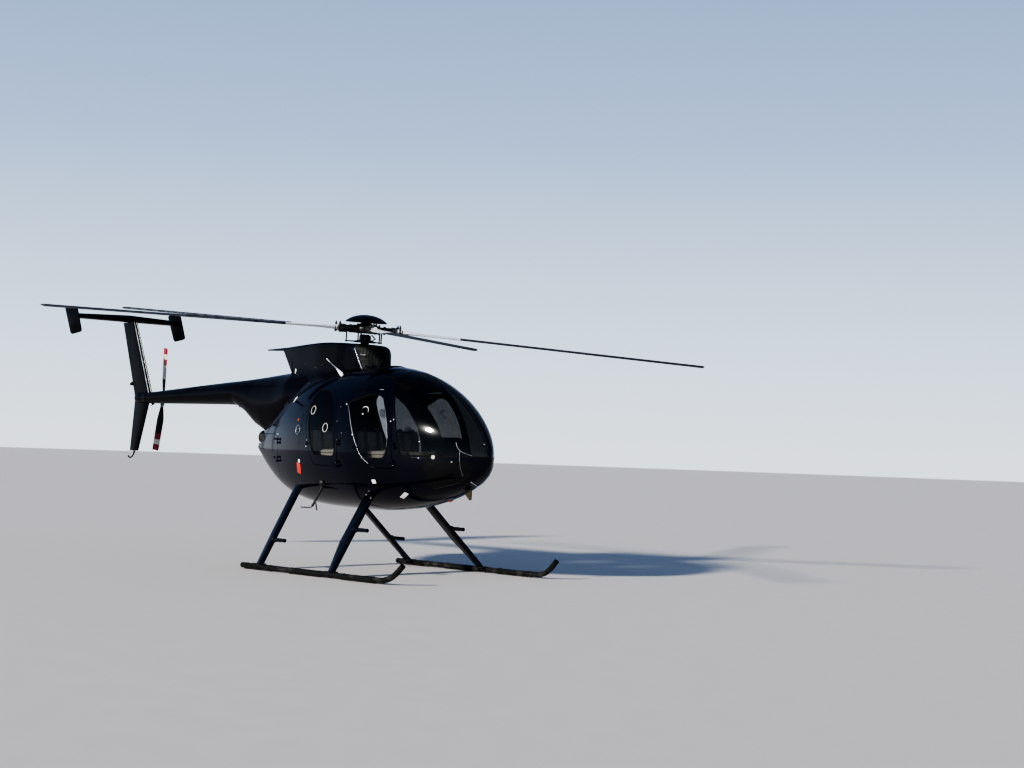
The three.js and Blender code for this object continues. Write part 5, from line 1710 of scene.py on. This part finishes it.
def swollen(bm, cap):
    """Swells a padded shape with cloth under a little pressure; no point moves further than the cap."""
    start = add_mesh(bm, "pad_start")
    remesh = start.modifiers.new("remesh", "REMESH")
    remesh.mode = "VOXEL"
    remesh.voxel_size = PAD_VOXEL
    fine = with_modifiers(start)
    bpy.data.objects.remove(start)
    work = add_object("pad_work", fine)
    before = [vertex.co.copy() for vertex in fine.vertices]
    cloth = work.modifiers.new("cloth", "CLOTH")
    cloth.settings.use_pressure = True
    cloth.settings.uniform_pressure_force = CLOTH_PRESSURE
    cloth.settings.effector_weights.gravity = 0
    cloth.point_cache.frame_start = 1
    cloth.point_cache.frame_end = CLOTH_FRAMES
    for number in range(1, CLOTH_FRAMES + 1):
        bpy.context.scene.frame_set(number)
    done = with_modifiers(work)
    bpy.context.scene.frame_set(1)
    for vertex, rest in zip(done.vertices, before):
        move = vertex.co - rest
        if move.length > cap:
            vertex.co = rest + move.normalized() * cap
    work.modifiers.clear()
    work.data = done
    smoother = work.modifiers.new("smoother", "SUBSURF")
    smoother.levels = smoother.render_levels = 1
    result = with_modifiers(work)
    bpy.data.objects.remove(work)
    made = bmesh.new()
    made.from_mesh(result)
    return face_outwards(made)


def sewn_pad(long, wide, thick, channels, cap):
    """A pad lying flat: long in X, wide in Y, with sewn channels across its top and a piped seam."""
    ends = [(-long / 2, -wide / 2), (long / 2, -wide / 2), (long / 2, wide / 2), (-long / 2, wide / 2)]
    outline = [(x * (1 - PAD_SEAM / long), y * (1 - PAD_SEAM / wide)) for x, y in ends]
    pad = swollen(slab(outline, 0.004, thick - 0.014, PAD_CORNER, 6, 0.018, "xy"), cap)
    for vertex in pad.verts:
        rise = max(0.0, vertex.normal.z)
        inside = min(1.0, max(0.0, (wide / 2 - 0.035 - abs(vertex.co.y)) / 0.03))
        groove = sum(exp(-(((vertex.co.x - x) / 0.0065) ** 2)) for x in channels) * 0.0075
        crown = 0.008 * cos(pi * vertex.co.y / wide) * rise
        vertex.co.z = max(0.0, vertex.co.z + crown - groove * rise * inside)
    surface = BVHTree.FromBMesh(face_outwards(pad))
    rim = rounded_line(outline, PAD_CORNER, 0.02)
    seam = [surface.find_nearest(Vector((x * 1.02, y * 1.02, thick * 0.72)))[0] for x, y in rim]
    return pad, sweep(seam, 0.0036, 8, True)


PADS = {
    "base": sewn_pad(PAD_DEEP, PAD_WIDE, PAD_THICKNESS, (-0.09, 0.0, 0.09), 0.012),
    "back": sewn_pad(BACK_TALL, PAD_WIDE, BACK_THICKNESS, (-0.06, 0.04), 0.009),
}


def seat_frames(seat, side):
    """Where the base pad and the back pad of one seat go."""
    low, high = seat["y"]
    middle, width = (low + high) / 2, (high - low) / PAD_WIDE
    base_x, base_deep = seat["base"]
    base = shift((base_x, side * middle, FLOOR_Z + 0.257)) @ spin(-0.035, "Y")
    base = base @ Matrix.Diagonal((base_deep / PAD_DEEP, width * 0.985, 1, 1))
    (x0, z0), (x1, z1) = seat["back"]
    rise = Vector((x1 - x0, 0, z1 - z0)).normalized()
    front = Vector((rise.z, 0, -rise.x))
    frame_of_back = Matrix((rise, front.cross(rise), front)).transposed().to_4x4()
    centre = Vector(((x0 + x1) / 2, side * middle, FLOOR_Z + (z0 + z1) / 2)) - front * BACK_THICKNESS
    back = shift(centre) @ frame_of_back @ Matrix.Diagonal((1, width * 0.985, 1, 1))
    return {"base": base, "back": back}


def belt(points, wide, side_way):
    """Flat webbing: a thin strip along points, as wide as asked across side_way."""
    line = smooth_line(points, 6)
    sections = []
    for i, point in enumerate(line):
        along = (line[min(i + 1, len(line) - 1)] - line[max(i - 1, 0)]).normalized()
        across = (side_way - along * along.dot(side_way)).normalized() * wide / 2
        up = along.cross(across).normalized() * 0.0011
        sections.append([point + across + up, point - across + up, point - across - up, point + across - up])
    return loft(sections)


def seat_belts(seat, side):
    """Two shoulder straps down the back, a lap strap across the base and its buckle."""
    middle = side * sum(seat["y"]) / 2
    (x0, z0), (x1, z1) = seat["back"]
    run = [
        (x1 - 0.065, z1 - 0.02), (x1 - 0.02, z1 + 0.012), (x1 + 0.015, z1 - 0.03),
        ((x0 + x1) / 2 + 0.014, (z0 + z1) / 2), (x0 + 0.02, z0 + 0.06), (x0 + 0.05, z0 + 0.03),
    ]
    straps = []
    for y in (-0.09, 0.09):
        strap = [Vector((x, middle + y, FLOOR_Z + z)) for x, z in run]
        straps.append(belt(strap, 0.042, Vector((0, 1, 0))))
    lap = [(-0.2, 0.30), (-0.17, 0.356), (-0.08, 0.368), (0.08, 0.368), (0.17, 0.356), (0.2, 0.30)]
    lap = [Vector((x0 + 0.06, middle + y, FLOOR_Z + z)) for y, z in lap]
    low, high = (x0 + 0.035, middle - 0.028, FLOOR_Z + 0.369), (x0 + 0.085, middle + 0.028, FLOOR_Z + 0.382)
    return gather(*straps, belt(lap, 0.045, Vector((1, 0, 0))), box(low, high, 0.004))


for place, seat in SEATS.items():
    for side_name, side in SIDES.items():
        low, high = side_span(side, *seat["y"])
        shell = slab([(x, FLOOR_Z + z) for x, z in seat["shell"]], low + 0.006, high - 0.006, 0.012, 3,
                     0.004)
        piece(f"seat_shell_{place}_{side_name}", shell, TRIM, angle=40)
        # The rear bench is one node, and the port side's base pad stands for it
        bench = "seat_rear" if side > 0 else ""
        nodes = {"base": f"seat_front_{side_name}" if place == "front" else bench, "back": ""}
        for kind, frame_of_pad in seat_frames(seat, side).items():
            pad, seam = (copied(shape, frame_of_pad) for shape in PADS[kind])
            made = piece(f"seat_{kind}_pad_{place}_{side_name}", pad, CLOTH, nodes[kind], angle=180)
            piece(f"seat_{kind}_piping_{place}_{side_name}", seam, PIPING, angle=180)
        piece(f"seat_belts_{place}_{side_name}", seat_belts(seat, side), WEBBING, angle=60)
for pad_and_seam in PADS.values():
    for shape in pad_and_seam:
        shape.free()

# Instrument pedestal
PEDESTAL = metres([(1370, 0), (1520, 0), (1620, 300), (1600, 520), (1500, 560), (1450, 520), (1440, 300)])
pedestal = slab([(x, FLOOR_Z + z) for x, z in PEDESTAL], -0.148, 0.148, 0.022, 4, 0.005)
piece("pedestal_shell", pedestal, TRIM, "instrument_console", angle=40)
panel_low, panel_high = Vector((1.4415, 0, FLOOR_Z + 0.32)), Vector((1.4485, 0, FLOOR_Z + 0.515))
rise = (panel_high - panel_low).normalized()
facing = Vector((-rise.z, 0, rise.x))
DIAL = 0.034  # radius of a dial
dials, glasses, marks = [], [], []
for row, share in enumerate((0.78, 0.34)):
    for y in (-0.09, 0.0, 0.09):
        centre = panel_low + (panel_high - panel_low) * share + Vector((0, y, 0))
        frame_of_dial = shift(centre) @ Matrix((rise.cross(facing), rise, facing)).transposed().to_4x4()
        dials.append(moved(collar_ring(DIAL - 0.004, DIAL, 0.006, 32), frame_of_dial))
        for a, b in ((0.8, 0.8), (-0.8, 0.8), (0.8, -0.8), (-0.8, -0.8)):
            dials.append(moved(button(0.003, 0.004, 10), frame_of_dial @ shift((DIAL * a, DIAL * b, 0))))
        glasses.append(moved(button(DIAL - 0.005, 0.0025, 32), frame_of_dial))
        hand = [(-0.0012, -0.006), (0.0012, -0.006), (0.0006, DIAL * 0.68), (-0.0006, DIAL * 0.68)]
        hand = slab(hand, 0.0028, 0.0036, plane="xy")
        marks.append(moved(hand, frame_of_dial @ spin(0.7 * row - 9 * y)))
        for k in range(12):
            tick = box((-0.0006, DIAL * 0.68, 0.0024), (0.0006, DIAL * 0.8, 0.0031))
            marks.append(moved(tick, frame_of_dial @ spin(TAU * k / 12)))
piece("dial_bezels", gather(*dials), BLACK)
piece("dial_faces", gather(*glasses), RUBBER)
piece("dial_marks", gather(*marks), WHITE)
places = [-0.1 + 0.04 * k for k in range(6)]
knobs = [
    rod((1.4395, y, FLOOR_Z + 0.29), (1.425, y, FLOOR_Z + 0.288), 0.008, 0.0065, 16, 0.0015) for y in places
]
hood = metres([(1432, 540), (1500, 572), (1585, 545), (1598, 532), (1500, 566), (1440, 528)])
hood = slab([(x, FLOOR_Z + z) for x, z in hood], -0.149, 0.149, 0.004, 2, 0.002)
piece("pedestal_details", gather(hood, *knobs), RUBBER)

# Flight controls and pedals
GAITER = [
    (0, 0.001), (0.052, 0.001), (0.055, 0.008), (0.046, 0.016), (0.048, 0.024), (0.036, 0.032),
    (0.037, 0.04), (0.022, 0.05), (0.022, 0.058), (0.013, 0.066), (0, 0.066),
]
GRIP_RADII = [0.0135, 0.0145, 0.0155, 0.0158, 0.0155, 0.0148, 0.0145, 0.015, 0.0155, 0.0158, 0.0158, 0.015,
              0.012]
for side_name, side in SIDES.items():
    y = side * 0.285
    stick = smooth_line([(1.23, y, FLOOR_Z + 0.02), (1.212, y, 1.14), (1.19, y, 1.25), (1.18, y, 1.3)], 6)
    grip = smooth_line([(1.18, y, 1.296), (1.165, y, 1.325), (1.148, y, 1.357), (1.13, y, 1.39)], 4)
    controls = gather(
        sweep(stick, 0.0118, 16),
        sweep(grip, GRIP_RADII, 18),
        turned(GAITER, 32, (1.228, y, FLOOR_Z)),
        rod((1.128, y, 1.388), (1.122, y, 1.4), 0.006, 0.005, 12, 0.001),
        rod((1.14, y, 1.352), (1.122, y, 1.347), 0.005, 0.004, 12, 0.001),
    )
    piece(f"cyclic_stick_{side_name}", controls, RUBBER, f"cyclic_{side_name}", angle=50)
    pedals = []
    for pedal_y in (y - side * 0.1, y):
        stem = [(1.46, pedal_y, FLOOR_Z + 0.002), (1.47, pedal_y, FLOOR_Z + 0.07),
                (1.46, pedal_y, FLOOR_Z + 0.13)]
        tread = box((-0.006, -0.032, -0.045), (0.006, 0.032, 0.045), 0.003)
        pedals.append(sweep(smooth_line(stem, 4), 0.008, 12))
        pedals.append(moved(tread, shift((1.453, pedal_y, FLOOR_Z + 0.135)) @ spin(-0.35, "Y")))
    piece(f"pedals_{side_name}", gather(*pedals), STEEL, angle=50)

# Engine behind the firewall
ENGINE_FRAME = shift((-0.97, 0, 1.43)) @ spin(-0.35, "Y")
casing = turned([
    (0, -0.3), (0.09, -0.3), (0.115, -0.285), (0.13, -0.25), (0.13, -0.1), (0.142, -0.098), (0.142, -0.082),
    (0.13, -0.08), (0.122, 0.0), (0.135, 0.002), (0.135, 0.016), (0.118, 0.018), (0.108, 0.16),
    (0.126, 0.165), (0.126, 0.18), (0.1, 0.184), (0.085, 0.29), (0, 0.295),
], 48, (0, 0, 0), (1, 0, 0))
gear_case = [box((-0.07, -0.12, -0.205), (0.25, 0.12, -0.075), 0.02),
             box((0.0, -0.16, -0.17), (0.12, 0.16, -0.1), 0.014)]
ducts = []
for side in (-1, 1):
    run = [(0.22, side * 0.1, 0.05), (0.16, side * 0.15, 0.06), (0.0, side * 0.152, 0.04),
           (-0.16, side * 0.148, 0.01), (-0.25, side * 0.1, 0.0)]
    ducts.append(sweep(smooth_line(run, 6), 0.026, 20))
    for k in range(3):
        start, middle = (0.2 - 0.09 * k, side * 0.13, -0.12), (0.1 - 0.08 * k, side * 0.17, -0.06)
        run = smooth_line([start, middle, (-0.08 - 0.05 * k, side * 0.166, 0.05)], 6)
        ducts.append(sweep(run, 0.006, 10))
bolts = []
for k in range(16):
    for x, radius in ((-0.09, 0.136), (0.009, 0.129)):
        y, z = radius * cos(TAU * k / 16), radius * sin(TAU * k / 16)
        bolts.append(rod((x - 0.012, y, z), (x + 0.012, y, z), 0.005, None, 6))
engine = moved(gather(casing, *gear_case, *ducts, *bolts), ENGINE_FRAME)
corners = [(y, z) for y in (-0.14, 0.14) for z in (1.26, 1.48)]
bearers = [rod((-0.9, y, z), (-0.5, y, z), 0.0155, None, 20, 0.003) for y, z in corners]
piece("engine_casing", gather(engine, *bearers), ALUMINIUM, "engine", angle=40)

# Carried-over CAD nodes get their finish
KEPT = {"cabin_floor": CARPET, "rear_bulkhead": TRIM, "nose_aerial": OLIVE, "belly_lamp": RED_LENS}
for node, material in KEPT.items():
    mesh = frame["nodes"][node].data
    mesh.materials.clear()
    mesh.materials.append(material)

# Floor
floor_disc = bmesh.new()
bmesh.ops.create_circle(floor_disc, cap_ends=True, segments=96, radius=120)
floor = add_mesh(floor_disc, "floor")
floor_disc.free()
PALE_FLOOR = new_material("pale_floor", (0.66, 0.615, 0.55), 0.75)
floor_tree = PALE_FLOOR.node_tree
dust = spread(floor_tree, noise(floor_tree, 3, 6), 0.65, 0.85)
dress(PALE_FLOOR, dust, None, noise(floor_tree, 30, 5), 0.1, 0.002)
floor.data.materials.append(PALE_FLOOR)
